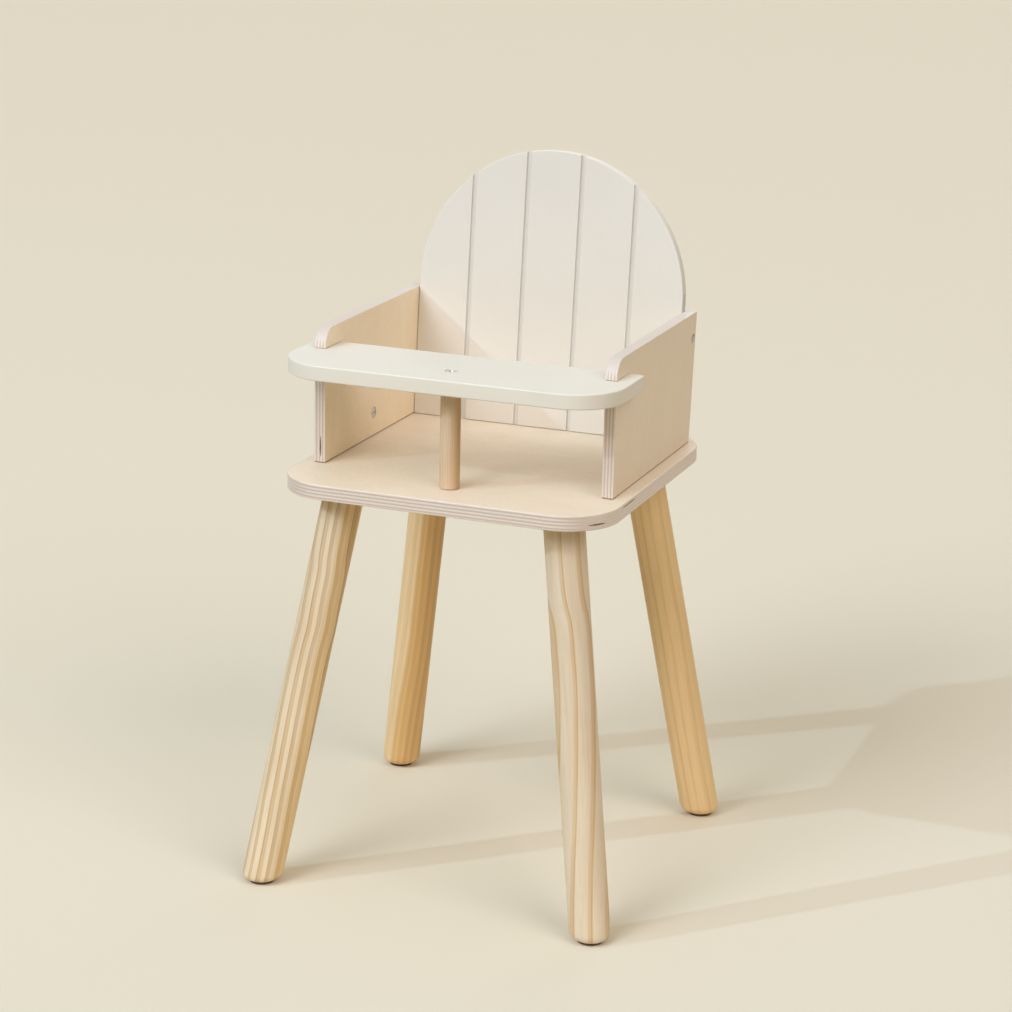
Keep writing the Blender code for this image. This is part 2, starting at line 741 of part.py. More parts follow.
def make_back_screw(finishes, label, side):
    """A screw that holds the back's edge to a side panel."""
    head = BACK_SCREW_HEAD_DIAMETER / 2
    shank = BACK_SCREW_DIAMETER / 2
    thick = BACK_SCREW_HEAD_THICKNESS
    chamfer = shank * CHAMFER_SHARE
    profile = [
        (0, 0),
        (head - chamfer, 0),
        (head, chamfer),
        (head, thick),
        (shank, thick),
        (shank, BACK_SCREW_LENGTH - BACK_SCREW_DIAMETER),
        (0, BACK_SCREW_LENGTH),
    ]
    inwards = Vector((-side, 0, 0))
    place = back_screw_head(side)
    name = f"back_screw_{label}"
    bm = turn_profile(profile, PIN_SIDES)
    screw = add_piece(name, bm, finishes["steel"], place, point_along(inwards))
    add_cross_recess(screw, place, inwards, BACK_SCREW_HEAD_DIAMETER)


def back_pin_places():
    """The feet of the back's two pins, in the middle of the board's foot."""
    middle = back_point(0, PIN_IN_BOARD / 2, BACK_THICKNESS / 2)
    return [Vector((side * BACK_PIN_SPACING / 2, middle.y, 0)) for side in SIDES.values()]


# Countersunk screws at the two ends of the post

TRAY_SCREW_DIAMETER = 0.0045
TRAY_SCREW_HEAD_DIAMETER = 0.0098
TRAY_SCREW_SUNK = 0.0006
TRAY_SCREW_LENGTH = 0.040
POST_SCREW_DIAMETER = 0.0045
POST_SCREW_HEAD_DIAMETER = 0.0090
POST_SCREW_SUNK = 0.0004
POST_SCREW_LENGTH = 0.042
COUNTERSUNK_RIM = 0.0005

WoodScrew = namedtuple("WoodScrew", "shank head sunk length")
TRAY_SCREW = WoodScrew(TRAY_SCREW_DIAMETER / 2, TRAY_SCREW_HEAD_DIAMETER / 2,
                       TRAY_SCREW_SUNK, TRAY_SCREW_LENGTH)
POST_SCREW = WoodScrew(POST_SCREW_DIAMETER / 2, POST_SCREW_HEAD_DIAMETER / 2,
                       POST_SCREW_SUNK, POST_SCREW_LENGTH)


def post_axis(height):
    """A point on the post's axis."""
    return Vector((0, POST_Y, height))


def countersunk_hole(screw, face_height, inwards, thickness):
    """A hole right through a board, countersunk so that the head sits below the face."""
    wide = screw.head + CLEARANCE
    narrow = screw.shank + CLEARANCE
    slope_start = screw.sunk + COUNTERSUNK_RIM
    slope_end = slope_start + wide - narrow
    out = thickness + CUT_OVERRUN
    profile = [
        (0, -CUT_OVERRUN),
        (wide, -CUT_OVERRUN),
        (wide, slope_start),
        (narrow, slope_end),
        (narrow, out),
        (0, out),
    ]
    return post_axis(face_height), inwards, profile


def pilot_hole(screw, post_end, inwards, board):
    """The hole in the post's end for a screw that starts a board's thickness away."""
    depth = screw.sunk + screw.length - board + CLEARANCE
    return bore(post_end, inwards, (screw.shank + CLEARANCE, depth))


def make_countersunk_screw(finishes, name, screw, face_height, inwards):
    """A countersunk wood screw on the post's axis. Its head slopes at 45 degrees."""
    profile = [
        (0, 0),
        (screw.head, 0),
        (screw.head, COUNTERSUNK_RIM),
        (screw.shank, COUNTERSUNK_RIM + screw.head - screw.shank),
        (screw.shank, screw.length - 2 * screw.shank),
        (0, screw.length),
    ]
    place = post_axis(face_height) + inwards * screw.sunk
    piece = add_piece(name, turn_profile(profile), finishes["steel"], place, point_along(inwards))
    add_cross_recess(piece, place, inwards, 2 * screw.head)


# Recesses for the driver: a hexagon in the bolts and a cross in the wood screws

SOCKET_SHARE = 0.42
SOCKET_DEPTH_SHARE = 0.2
CROSS_ARM_SHARE = 0.29
CROSS_WIDTH_SHARE = 0.13
CROSS_DEPTH_SHARE = 0.16


def add_hex_socket(piece, face, inwards, head_diameter):
    """Sink a hexagon socket in a bolt's head."""
    radius = head_diameter * SOCKET_SHARE / 2
    hole = bore(face, inwards, (radius, head_diameter * SOCKET_DEPTH_SHARE))
    drill(piece, "socket", [hole], HEX_SIDES)


def add_cross_recess(piece, face, inwards, head_diameter):
    """Sink a cross recess in a wood screw's head."""
    arm = head_diameter * CROSS_ARM_SHARE
    half = head_diameter * CROSS_WIDTH_SHARE / 2
    quarter = [Vector((arm, -half)), Vector((arm, half)), Vector((half, half))]
    turns = [Matrix.Rotation(turn * math.pi / 2, 2) for turn in range(4)]
    outline = [turn @ point for turn in turns for point in quarter]
    bm = raise_board(outline, CUT_OVERRUN + head_diameter * CROSS_DEPTH_SHARE)
    outside = Matrix.Translation(face - inwards * CUT_OVERRUN)
    bm.transform(outside @ point_along(inwards).to_matrix().to_4x4())
    cut(piece, bm, f"{piece.name}_cross")


# The chair

def clear_scene():
    """Remove whatever the file holds and start the chair's own empty."""
    for thing in list(bpy.data.objects):
        bpy.data.objects.remove(thing, do_unlink=True)
    chair = bpy.data.objects.new("doll_high_chair", None)
    bpy.context.scene.collection.objects.link(chair)


def make_chair():
    """Every piece of the chair, from the floor up."""
    finishes = make_finishes()
    make_foot_pads(finishes)
    make_legs(finishes)
    make_leg_bolts(finishes)
    make_leg_inserts(finishes)
    make_seat(finishes)
    for label, side in SIDES.items():
        make_side_panel(finishes, label, side)
        make_panel_bolt(finishes, label, side)
        make_barrel_nut(finishes, label, side)
        make_back_screw(finishes, label, side)
        names = [f"panel_pin_{end}_{label}" for end in ("front", "rear")]
        make_pins(finishes, names, panel_pin_places(side))
    make_pins(finishes, [f"back_pin_{label}" for label in SIDES], back_pin_places())
    make_back(finishes)
    make_post(finishes)
    make_tray(finishes)
    make_countersunk_screw(finishes, "post_screw", POST_SCREW, SEAT_BOTTOM, UP)
    make_countersunk_screw(finishes, "tray_screw", TRAY_SCREW, TRAY_TOP, DOWN)


clear_scene()
make_chair()
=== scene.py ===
"""Doll high chair, dressed: birch plywood, a painted back and tray, pine legs and small steel parts.

Lengths are in metres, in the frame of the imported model: the chair faces -Y, +Z is up, and left
and right are those of a viewer who stands in front of it.
"""

import math

import bmesh
import bpy
from mathutils import Euler, Matrix, Vector


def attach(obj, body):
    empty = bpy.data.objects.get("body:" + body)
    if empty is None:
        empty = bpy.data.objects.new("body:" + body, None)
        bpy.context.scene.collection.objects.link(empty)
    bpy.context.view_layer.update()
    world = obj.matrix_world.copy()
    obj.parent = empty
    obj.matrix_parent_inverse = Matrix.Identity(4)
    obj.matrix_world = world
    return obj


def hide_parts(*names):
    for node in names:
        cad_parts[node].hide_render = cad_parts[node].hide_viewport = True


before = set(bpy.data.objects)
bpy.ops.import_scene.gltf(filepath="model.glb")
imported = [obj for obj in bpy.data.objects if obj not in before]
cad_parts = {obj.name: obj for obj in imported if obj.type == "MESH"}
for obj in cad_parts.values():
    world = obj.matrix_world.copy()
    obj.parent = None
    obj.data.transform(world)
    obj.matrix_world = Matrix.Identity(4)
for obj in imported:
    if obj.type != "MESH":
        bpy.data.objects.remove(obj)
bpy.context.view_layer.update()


# Foot pads
# Four round pads of dark moulded rubber under the legs, which keep the feet off the floor.
# From the side each is a thin dark line in the shade of its leg's rounded end.

SEAT_BOTTOM = 0.318
LEG_TOP = Vector((0.0895, 0.0905, 0))
LEG_SPREAD = 0.049
PAD_RADIUS = 0.00975
PAD_THICKNESS = 0.0022
PAD_ROUND = 0.0005
RUBBER_BROWN = (0.070, 0.034, 0.012, 1)
RUBBER_DUST = (0.165, 0.088, 0.034, 1)
UP = Vector((0, 0, 1))
DOWN = Vector((0, 0, -1))
CORNERS = {
    "rear_right": Vector((1, 1, 1)),
    "rear_left": Vector((-1, 1, 1)),
    "front_left": Vector((-1, -1, 1)),
    "front_right": Vector((1, -1, 1)),
}
SAME_POINT = 0.000001
SHARP_ANGLE = math.radians(32)


def turn_profile(profile, start, direction, steps):
    """A body turned from points of (radius, distance along the axis)."""
    bm = bmesh.new()
    side = direction.orthogonal().normalized()
    points = [bm.verts.new(start + direction * along + side * radius) for radius, along in profile]
    edges = [bm.edges.new(pair) for pair in zip(points, points[1:])]
    bmesh.ops.spin(bm, geom=points + edges, cent=start, axis=direction, angle=math.tau,
                   steps=steps, use_merge=True, use_duplicate=False)
    bmesh.ops.remove_doubles(bm, verts=bm.verts[:], dist=SAME_POINT)
    bmesh.ops.recalc_face_normals(bm, faces=bm.faces[:])
    return bm


def round_edges(bm, radius, steps, wanted=None):
    """Round a body's sharp edges, or only those that a test picks."""
    edges = [edge for edge in bm.edges if edge.calc_face_angle(0) > SHARP_ANGLE]
    if wanted is not None:
        edges = [edge for edge in edges if wanted(edge)]
    bmesh.ops.bevel(bm, geom=edges, offset=radius, offset_type="OFFSET", segments=steps,
                    profile=0.5, affect="EDGES", material=-1, clamp_overlap=True)


def finish_piece(name, bm, material, node):
    """Put a finished mesh in the scene, in the place of its plain node."""
    mesh = bpy.data.meshes.new(name)
    bm.to_mesh(mesh)
    bm.free()
    mesh.materials.append(material)
    mesh.shade_smooth()
    mesh.set_sharp_from_angle(angle=SHARP_ANGLE)
    piece = bpy.data.objects.new(name, mesh)
    bpy.context.scene.collection.objects.link(piece)
    shading = piece.modifiers.new("even shading", "WEIGHTED_NORMAL")
    shading.keep_sharp = True
    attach(piece, "root")
    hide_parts(node)


def add_node(tree, kind, inputs=(), **settings):
    """A shader node. Each input takes a value or another node's output."""
    node = tree.nodes.new(kind)
    for name, value in settings.items():
        setattr(node, name, value)
    for key, value in dict(inputs).items():
        if isinstance(value, bpy.types.NodeSocket):
            tree.links.new(value, node.inputs[key])
        else:
            node.inputs[key].default_value = value
    return node


def compute(tree, operation, *values):
    """The result of a Math node."""
    return add_node(tree, "ShaderNodeMath", enumerate(values), operation=operation).outputs[0]


def combine(tree, operation, *values):
    """The result of a Vector Math node on vectors."""
    return add_node(tree, "ShaderNodeVectorMath", enumerate(values), operation=operation).outputs[0]


def ease(tree, value, low, high, start=0.0, end=1.0):
    """A smooth step from start, below low, to end, above high."""
    inputs = {"Value": value, "From Min": low, "From Max": high, "To Min": start, "To Max": end}
    node = add_node(tree, "ShaderNodeMapRange", inputs, interpolation_type="SMOOTHSTEP")
    return node.outputs["Result"]


def blend_colors(tree, share, first, second):
    """A colour between two others."""
    inputs = {0: share, 6: first, 7: second}
    return add_node(tree, "ShaderNodeMix", inputs, data_type="RGBA").outputs[2]


def cloud(tree, point, scale, detail=2.0, seed=0.0, distortion=0.0):
    """Noise around 0.5. A scale of three numbers stretches it."""
    stretched = combine(tree, "MULTIPLY", point, scale)
    inputs = {"Vector": stretched, "W": seed, "Scale": 1.0, "Detail": detail,
              "Distortion": distortion}
    return add_node(tree, "ShaderNodeTexNoise", inputs, noise_dimensions="4D").outputs[0]


def start_material(name):
    """A material's node tree, its shader and a point on the object."""
    material = bpy.data.materials.new(name)
    material.use_nodes = True
    tree = material.node_tree
    shader = tree.nodes["Principled BSDF"]
    point = add_node(tree, "ShaderNodeTexCoord").outputs["Object"]
    return material, tree, shader, point


def feed(tree, shader, **outputs):
    """Link values to the shader's sockets."""
    for socket, output in outputs.items():
        tree.links.new(output, shader.inputs[socket.replace("_", " ").title()])


def raise_surface(tree, shader, height, distance):
    """Shape the surface with a fine bump of the given depth."""
    bump = add_node(tree, "ShaderNodeBump", {"Strength": 1.0, "Distance": distance, "Height": height})
    tree.links.new(bump.outputs[0], shader.inputs["Normal"])


def make_rubber():
    """Dark brown rubber, dull, with a fine moulded grain and a little dust in it."""
    material, tree, shader, point = start_material("dark rubber")
    grain = cloud(tree, point, (2200, 2200, 2200), 3)
    dust = ease(tree, cloud(tree, point, (260, 260, 260), 3), 0.45, 0.75)
    color = blend_colors(tree, dust, RUBBER_BROWN, RUBBER_DUST)
    feed(tree, shader, base_color=color, roughness=ease(tree, grain, 0.3, 0.7, 0.62, 0.85))
    raise_surface(tree, shader, grain, 0.00012)
    return material


def leg_foot(corner, height=0.0):
    """The middle of a leg at a height above the floor."""
    reach = LEG_SPREAD * (SEAT_BOTTOM - height) / SEAT_BOTTOM
    return (LEG_TOP + Vector((reach, reach, height))) * corner


RUBBER = make_rubber()
for label, corner in CORNERS.items():
    foot = leg_foot(corner, PAD_THICKNESS)
    disc = [(0, 0), (PAD_RADIUS, 0), (PAD_RADIUS, PAD_THICKNESS), (0, PAD_THICKNESS)]
    pad = turn_profile(disc, foot + DOWN * PAD_THICKNESS, UP, 64)
    round_edges(pad, PAD_ROUND, 4)
    finish_piece(f"rubber_pad_{label}", pad, RUBBER, f"foot_pad_{label}")


# Legs
# Four pine dowels, turned and sanded, cut level at the top and at the foot and rounded over
# there. Each is sawn from another place in the log, so its rings run as other stripes.

CLEARANCE = 0.0003
CUT_OVERRUN = 0.002
LEG_RADIUS = 0.0159
LEG_FOOT_ROUND = 0.0065
LEG_TOP_ROUND = 0.0003
LEG_STEPS = 128
LEG_BOLT_HOLE = 0.0033
LEG_BOLT_HOLE_DEPTH = 0.0263
SIDEWAYS = Vector((math.cos(math.radians(20.9)), math.sin(math.radians(20.9)), 0))
BEND_SPAN = 0.04
PINE_FIBRE = (0.46, 0.29, 0.14, 1)


def trim(bm, point, outwards):
    """Saw off what lies beyond a plane and close the cut."""
    geometry = bm.verts[:] + bm.edges[:] + bm.faces[:]
    cut = bmesh.ops.bisect_plane(bm, geom=geometry, plane_co=point, plane_no=outwards,
                                 clear_outer=True)["geom_cut"]
    rim = [item for item in cut if isinstance(item, bmesh.types.BMEdge)]
    bmesh.ops.contextual_create(bm, geom=rim)


def temporary_object(bm):
    """A mesh as an object that only serves a cut."""
    mesh = bpy.data.meshes.new("cutting")
    bm.to_mesh(mesh)
    bm.free()
    thing = bpy.data.objects.new("cutting", mesh)
    bpy.context.scene.collection.objects.link(thing)
    return thing


def carve(bm, tool):
    """Cut a closed tool's shape out of a body."""
    body = temporary_object(bm)
    cutter = temporary_object(tool)
    cut = body.modifiers.new("cut", "BOOLEAN")
    cut.operation = "DIFFERENCE"
    cut.solver = "EXACT"
    cut.object = cutter
    carved = bmesh.new()
    carved.from_mesh(body.evaluated_get(bpy.context.evaluated_depsgraph_get()).data)
    for thing in (body, cutter):
        mesh = thing.data
        bpy.data.objects.remove(thing)
        bpy.data.meshes.remove(mesh)
    return carved


def drill(bm, face, inwards, *bores, steps=48):
    """Drill into a face. Each bore of a stepped hole is its radius and the depth where it ends."""
    profile = [(0, -CUT_OVERRUN)]
    depth = -CUT_OVERRUN
    for radius, end in bores:
        profile += [(radius, depth), (radius, end)]
        depth = end
    profile.append((0, depth))
    return carve(bm, turn_profile(profile, face, inwards, steps))


def build_growth_rings():
    """Node group: a softwood's rings round the pith at the origin, with Z along the grain."""
    tree = bpy.data.node_groups.new("growth rings", "ShaderNodeTree")
    for name, kind in (("Point", "Vector"), ("Ring Width", "Float"), ("Wander", "Float"),
                       ("Late Share", "Float"), ("Heart And Shade Radius", "Float"), ("Heart And Shade Fade", "Float"),
                       ("Seed", "Float")):
        tree.interface.new_socket(name, in_out="INPUT", socket_type=f"NodeSocket{kind}")
    for name in ("Late Wood", "Heart Wood And Shade", "Fibre", "Tone"):
        tree.interface.new_socket(name, in_out="OUTPUT", socket_type="NodeSocketFloat")
    source = add_node(tree, "NodeGroupInput").outputs
    sink = add_node(tree, "NodeGroupOutput").inputs
    point = source["Point"]
    slow = combine(tree, "MULTIPLY", point, (30, 30, 9))
    inputs = {"Vector": slow, "W": source["Seed"], "Scale": 1.0, "Detail": 2.0}
    drift = add_node(tree, "ShaderNodeTexNoise", inputs, noise_dimensions="4D").outputs["Color"]
    drift = combine(tree, "SUBTRACT", drift, (0.5, 0.5, 0.5))
    drift = combine(tree, "MULTIPLY", drift, source["Wander"])
    across = combine(tree, "MULTIPLY", combine(tree, "ADD", point, drift), (1, 1, 0))
    radius = add_node(tree, "ShaderNodeVectorMath", {0: across}, operation="LENGTH").outputs["Value"]
    inputs = {"W": compute(tree, "MULTIPLY", radius, 170.0), "Scale": 1.0, "Detail": 1.0}
    good_years = add_node(tree, "ShaderNodeTexNoise", inputs, noise_dimensions="1D").outputs[0]
    good_years = compute(tree, "MULTIPLY", compute(tree, "SUBTRACT", good_years, 0.5), source["Wander"])
    rings = compute(tree, "DIVIDE", compute(tree, "ADD", radius, good_years), source["Ring Width"])
    year = compute(tree, "FLOOR", rings)
    season = compute(tree, "FRACT", rings)
    autumn = compute(tree, "SUBTRACT", 0.92, source["Late Share"])
    begun = compute(tree, "SUBTRACT", season, autumn)
    grown = ease(tree, begun, -0.04, 0.05)
    stopped = ease(tree, season, 0.91, 0.97, 1.0, 0.0)
    band = compute(tree, "MULTIPLY", grown, stopped)
    first = ease(tree, compute(tree, "ABSOLUTE", begun), 0.02, 0.08, 0.5, 0.0)
    last = ease(tree, compute(tree, "ABSOLUTE", compute(tree, "SUBTRACT", season, 0.91)), 0.02, 0.08,
                1.0, 0.0)
    lines = compute(tree, "MAXIMUM", first, last)
    late = compute(tree, "MAXIMUM", compute(tree, "MULTIPLY", band, 0.6), lines)
    luck = compute(tree, "ADD", year, source["Seed"])
    vigour = add_node(tree, "ShaderNodeTexWhiteNoise", {"W": luck}, noise_dimensions="1D")
    vigour = compute(tree, "MULTIPLY_ADD", vigour.outputs["Value"], 0.3, 0.7)
    patchy = cloud(tree, point, (90, 90, 14), 2, source["Seed"])
    patchy = ease(tree, patchy, 0.25, 0.65, 0.72, 1.0)
    tree.links.new(compute(tree, "MULTIPLY", compute(tree, "MULTIPLY", late, vigour), patchy),
                   sink["Late Wood"])
    inside = compute(tree, "SUBTRACT", source["Heart And Shade Radius"], radius)
    before = compute(tree, "MULTIPLY", source["Heart And Shade Fade"], -1.0)
    tree.links.new(ease(tree, inside, before, source["Heart And Shade Fade"]), sink["Heart Wood And Shade"])
    tree.links.new(cloud(tree, point, (2300, 2300, 42), 3, source["Seed"]), sink["Fibre"])
    tree.links.new(cloud(tree, point, (70, 70, 12), 2, source["Seed"]), sink["Tone"])
    return tree


GROWTH_RINGS = build_growth_rings()


def link_group(tree, group, inputs):
    """A node that runs a node group on the given inputs."""
    node = add_node(tree, "ShaderNodeGroup", node_tree=group)
    for key, value in inputs.items():
        if isinstance(value, bpy.types.NodeSocket):
            tree.links.new(value, node.inputs[key])
        else:
            node.inputs[key].default_value = value
    return node.outputs


def make_pine(name, foot, head, pale, late, heart_and_shade_color, pith, heart_and_shade_radius, heart_and_shade_fade, pale_bands,
              ring_width, late_share, wander, bends, seed):
    """Pine, sanded and oiled. Its pith lies beside the piece, and the bends turn the grain."""
    material, tree, shader, point = start_material(name)
    along = (head - foot).normalized()
    across = (SIDEWAYS - along * SIDEWAYS.dot(along)).normalized()
    axes = Matrix((across, along.cross(across), along)).transposed().to_euler()
    inputs = {"Vector": point, "Location": foot, "Rotation": axes}
    log = add_node(tree, "ShaderNodeMapping", inputs, vector_type="TEXTURE").outputs[0]
    height = add_node(tree, "ShaderNodeSeparateXYZ", {0: log}).outputs["Z"]
    share = compute(tree, "DIVIDE", height, (head - foot).length)
    bend = add_node(tree, "ShaderNodeFloatCurve", {"Value": share})
    curve = bend.mapping.curves[0]
    for index, (place, shift) in enumerate(bends):
        knot = (place, 0.5 + shift / BEND_SPAN)
        if index < 2:
            curve.points[index].location = knot
        else:
            curve.points.new(*knot)
    bend.mapping.update()
    shift = compute(tree, "MULTIPLY", compute(tree, "SUBTRACT", bend.outputs[0], 0.5), BEND_SPAN)
    shift = compute(tree, "ADD", shift, pith[0])
    moved = add_node(tree, "ShaderNodeCombineXYZ", {0: shift, 1: pith[1], 2: 0.0}).outputs[0]
    wood = link_group(tree, GROWTH_RINGS, {
        "Point": combine(tree, "SUBTRACT", log, moved), "Ring Width": ring_width,
        "Wander": wander, "Late Share": late_share, "Heart And Shade Radius": heart_and_shade_radius,
        "Heart And Shade Fade": heart_and_shade_fade, "Seed": seed})
    heart_and_shade_share = wood["Heart Wood And Shade"]
    color = blend_colors(tree, heart_and_shade_share, pale, heart_and_shade_color)
    warm = ease(tree, wood["Tone"], 0.3, 0.75, 0.0, 0.22)
    color = blend_colors(tree, warm, color, late)
    shown = compute(tree, "MULTIPLY_ADD", heart_and_shade_share, 1.0 - pale_bands, pale_bands)
    color = blend_colors(tree, compute(tree, "MULTIPLY", wood["Late Wood"], shown), color, late)
    streak = ease(tree, cloud(tree, log, (900, 900, 9), 2, seed + 3.0), 0.46, 0.78, 0.0, 0.22)
    color = blend_colors(tree, streak, color, late)
    thread = ease(tree, wood["Fibre"], 0.42, 0.75, 0.0, 0.20)
    color = blend_colors(tree, thread, color, PINE_FIBRE)
    feed(tree, shader, base_color=color, roughness=ease(tree, wood["Late Wood"], 0.0, 1.0, 0.56, 0.42))
    relief = compute(tree, "MULTIPLY_ADD", wood["Late Wood"], 0.4, wood["Fibre"])
    raise_surface(tree, shader, relief, 0.00006)
    return material


def shape_leg(corner):
    """One leg in its place: a slanted bar, cut level at both ends, with a rounded foot."""
    top = leg_foot(corner, SEAT_BOTTOM - CLEARANCE)
    foot = leg_foot(corner, PAD_THICKNESS + CLEARANCE)
    run = foot - top
    spare = run.normalized() * LEG_RADIUS
    length = run.length + 2 * LEG_RADIUS
    bar = [(LEG_RADIUS, 0), (LEG_RADIUS, length)]
    bm = turn_profile(bar, top - spare, run.normalized(), LEG_STEPS)
    for point, outwards in ((top, UP), (foot, DOWN)):
        trim(bm, point, outwards)
    middle = (top.z + foot.z) / 2
    round_edges(bm, LEG_FOOT_ROUND, 12, lambda edge: edge.verts[0].co.z < middle)
    round_edges(bm, LEG_TOP_ROUND, 2, lambda edge: edge.verts[0].co.z > middle)
    return drill(bm, top, DOWN, (LEG_BOLT_HOLE, LEG_BOLT_HOLE_DEPTH))


LEG_WOOD = {
    "front_left": {
        "pale": (0.805, 0.660, 0.450, 1), "late": (0.460, 0.250, 0.075, 1),
        "heart_and_shade_color": (0.830, 0.615, 0.330, 1), "pith": (0.0763, -0.014), "heart_and_shade_radius": 0.0700,
        "heart_and_shade_fade": 0.0010, "pale_bands": 1.0, "ring_width": 0.0069, "late_share": 0.36,
        "wander": 0.0016, "seed": 11.0,
        "bends": [(0.0, 0.0021), (1.0, -0.0035), (0.06, 0.0020), (0.13, 0.0016), (0.22, 0.0007),
                  (0.35, 0.0), (0.47, -0.0008), (0.60, -0.0010), (0.66, -0.0002), (0.72, -0.0008),
                  (0.79, -0.0011), (0.85, -0.0028)],
    },
    "rear_left": {
        "pale": (0.850, 0.625, 0.345, 1), "late": (0.560, 0.325, 0.118, 1),
        "heart_and_shade_color": (0.780, 0.485, 0.185, 1), "pith": (0.0627, -0.014), "heart_and_shade_radius": 0.0661,
        "heart_and_shade_fade": 0.0020, "pale_bands": 0.35, "ring_width": 0.0056, "late_share": 0.42,
        "wander": 0.0020, "seed": 23.0,
        "bends": [(0.0, -0.0055), (1.0, 0.0), (0.15, -0.0042), (0.38, -0.0008), (0.7, 0.0002)],
    },
    "front_right": {
        "pale": (0.730, 0.600, 0.430, 1), "late": (0.550, 0.335, 0.125, 1),
        "heart_and_shade_color": (0.760, 0.620, 0.440, 1), "pith": (-0.0756, -0.014), "heart_and_shade_radius": 0.0,
        "heart_and_shade_fade": 0.0010, "pale_bands": 1.0, "ring_width": 0.0134, "late_share": 0.19,
        "wander": 0.0016, "seed": 3.0,
        "bends": [(0.0, -0.0160), (1.0, -0.0062), (0.07, -0.0149), (0.17, -0.0124),
                  (0.26, -0.0096), (0.374, -0.0063), (0.49, -0.0038), (0.60, -0.0020),
                  (0.68, -0.0019), (0.745, -0.0023), (0.79, -0.0046), (0.825, -0.0060)],
    },
    "rear_right": {
        "pale": (0.820, 0.580, 0.290, 1), "late": (0.650, 0.415, 0.165, 1),
        "heart_and_shade_color": (0.785, 0.540, 0.255, 1), "pith": (-0.0500, 0.01), "heart_and_shade_radius": 0.0400,
        "heart_and_shade_fade": 0.0015, "pale_bands": 0.8, "ring_width": 0.0072, "late_share": 0.25,
        "wander": 0.0030, "seed": 31.0,
        "bends": [(0.0, -0.0010), (1.0, 0.0)],
    },
}
for label, corner in CORNERS.items():
    wood = make_pine(f"pine of the {label} leg", leg_foot(corner), leg_foot(corner, SEAT_BOTTOM),
                     **LEG_WOOD[label])
    finish_piece(f"turned_leg_{label}", shape_leg(corner), wood, f"leg_{label}")


# Seat board
# Nine plies of birch, 12 mm, with large round corners, sanded and thinly varnished. The edges
# are left bare, so the plies show as light and grey-brown lines; two small voids have painted shade.

SEAT_HALF_WIDTH = 0.134
SEAT_HALF_DEPTH = 0.135
SEAT_CORNER_RADIUS = 0.043
SEAT_THICKNESS = 0.012
SEAT_TOP = SEAT_BOTTOM + SEAT_THICKNESS
SEAT_EDGE_ROUND = 0.001
SEAT_PLIES = 9
PANEL_MIDDLE_X = 0.1185
PANEL_MIDDLE_Y = 0.01725
PIN_REACH = 0.060
PIN_HOLE = 0.0028
PIN_IN_SEAT = 0.0083
PIN_IN_BOARD = 0.0123
BACK_PIN_X = 0.055
BACK_PIN_Y = 0.104512
POST_PLACE = Vector((0, -0.0985, 0))
INSERT_BORES = ((0.00655, 0.0018), (0.0053, 0.0098))
PANEL_BOLT_BORES = ((0.00455, 0.0037), (0.0028, 0.014))
WOOD_SCREW_BORE = 0.00255
COUNTERSUNK_RIM = 0.0005
POST_SCREW_HEAD_BORE = 0.0048
POST_SCREW_SUNK = 0.0004
BIRCH_SIDE_GRAIN = (0.815, 0.695, 0.580, 1)
BIRCH_END_GRAIN = (0.590, 0.458, 0.360, 1)
BIRCH_TOP_EDGE_PAINTED_LIGHT = (0.715, 0.632, 0.556, 1)
PLY_GLUE = (0.360, 0.245, 0.165, 1)
BIRCH_FIBRE = (0.46, 0.33, 0.22, 1)
BIRCH_MOTTLE = (0.50, 0.37, 0.26, 1)
BIRCH_FLECK = (0.36, 0.22, 0.12, 1)
PLY_VOID_SHADE = (0.16, 0.085, 0.045, 1)
# Brown of the painted shade in the panels' joint with the seat.
JOINT_SHADE_BROWN = (0.20, 0.10, 0.05, 1)
SEAT_TONES = ((0.862, 0.738, 0.570, 1), (0.842, 0.709, 0.535, 1))
SEAT_VOIDS = [
    ((0.1258, -0.1173, 0.3223), (0.0085, 0.0085, 0.00075)),
    ((0.1340, -0.0700, 0.3274), (0.0100, 0.0180, 0.00060)),
]


def raise_board(corners, thickness, steps):
    """A flat board from its corners of (x, y, radius), raised along Z."""
    bm = bmesh.new()
    bm.faces.new([bm.verts.new((x, y, 0)) for x, y, radius in corners])
    for x, y, radius in corners:
        if radius:
            tip = Vector((x, y, 0))
            corner = min(bm.verts, key=lambda vert: (vert.co - tip).length)
            bmesh.ops.bevel(bm, geom=[corner], offset=radius, offset_type="OFFSET",
                            segments=steps, profile=0.5, affect="VERTICES", material=-1)
    bmesh.ops.remove_doubles(bm, verts=bm.verts[:], dist=SAME_POINT)
    raised = bmesh.ops.extrude_face_region(bm, geom=bm.faces[:])["geom"]
    top = [item for item in raised if isinstance(item, bmesh.types.BMVert)]
    bmesh.ops.translate(bm, verts=top, vec=(0, 0, thickness))
    bmesh.ops.recalc_face_normals(bm, faces=bm.faces[:])
    return bm


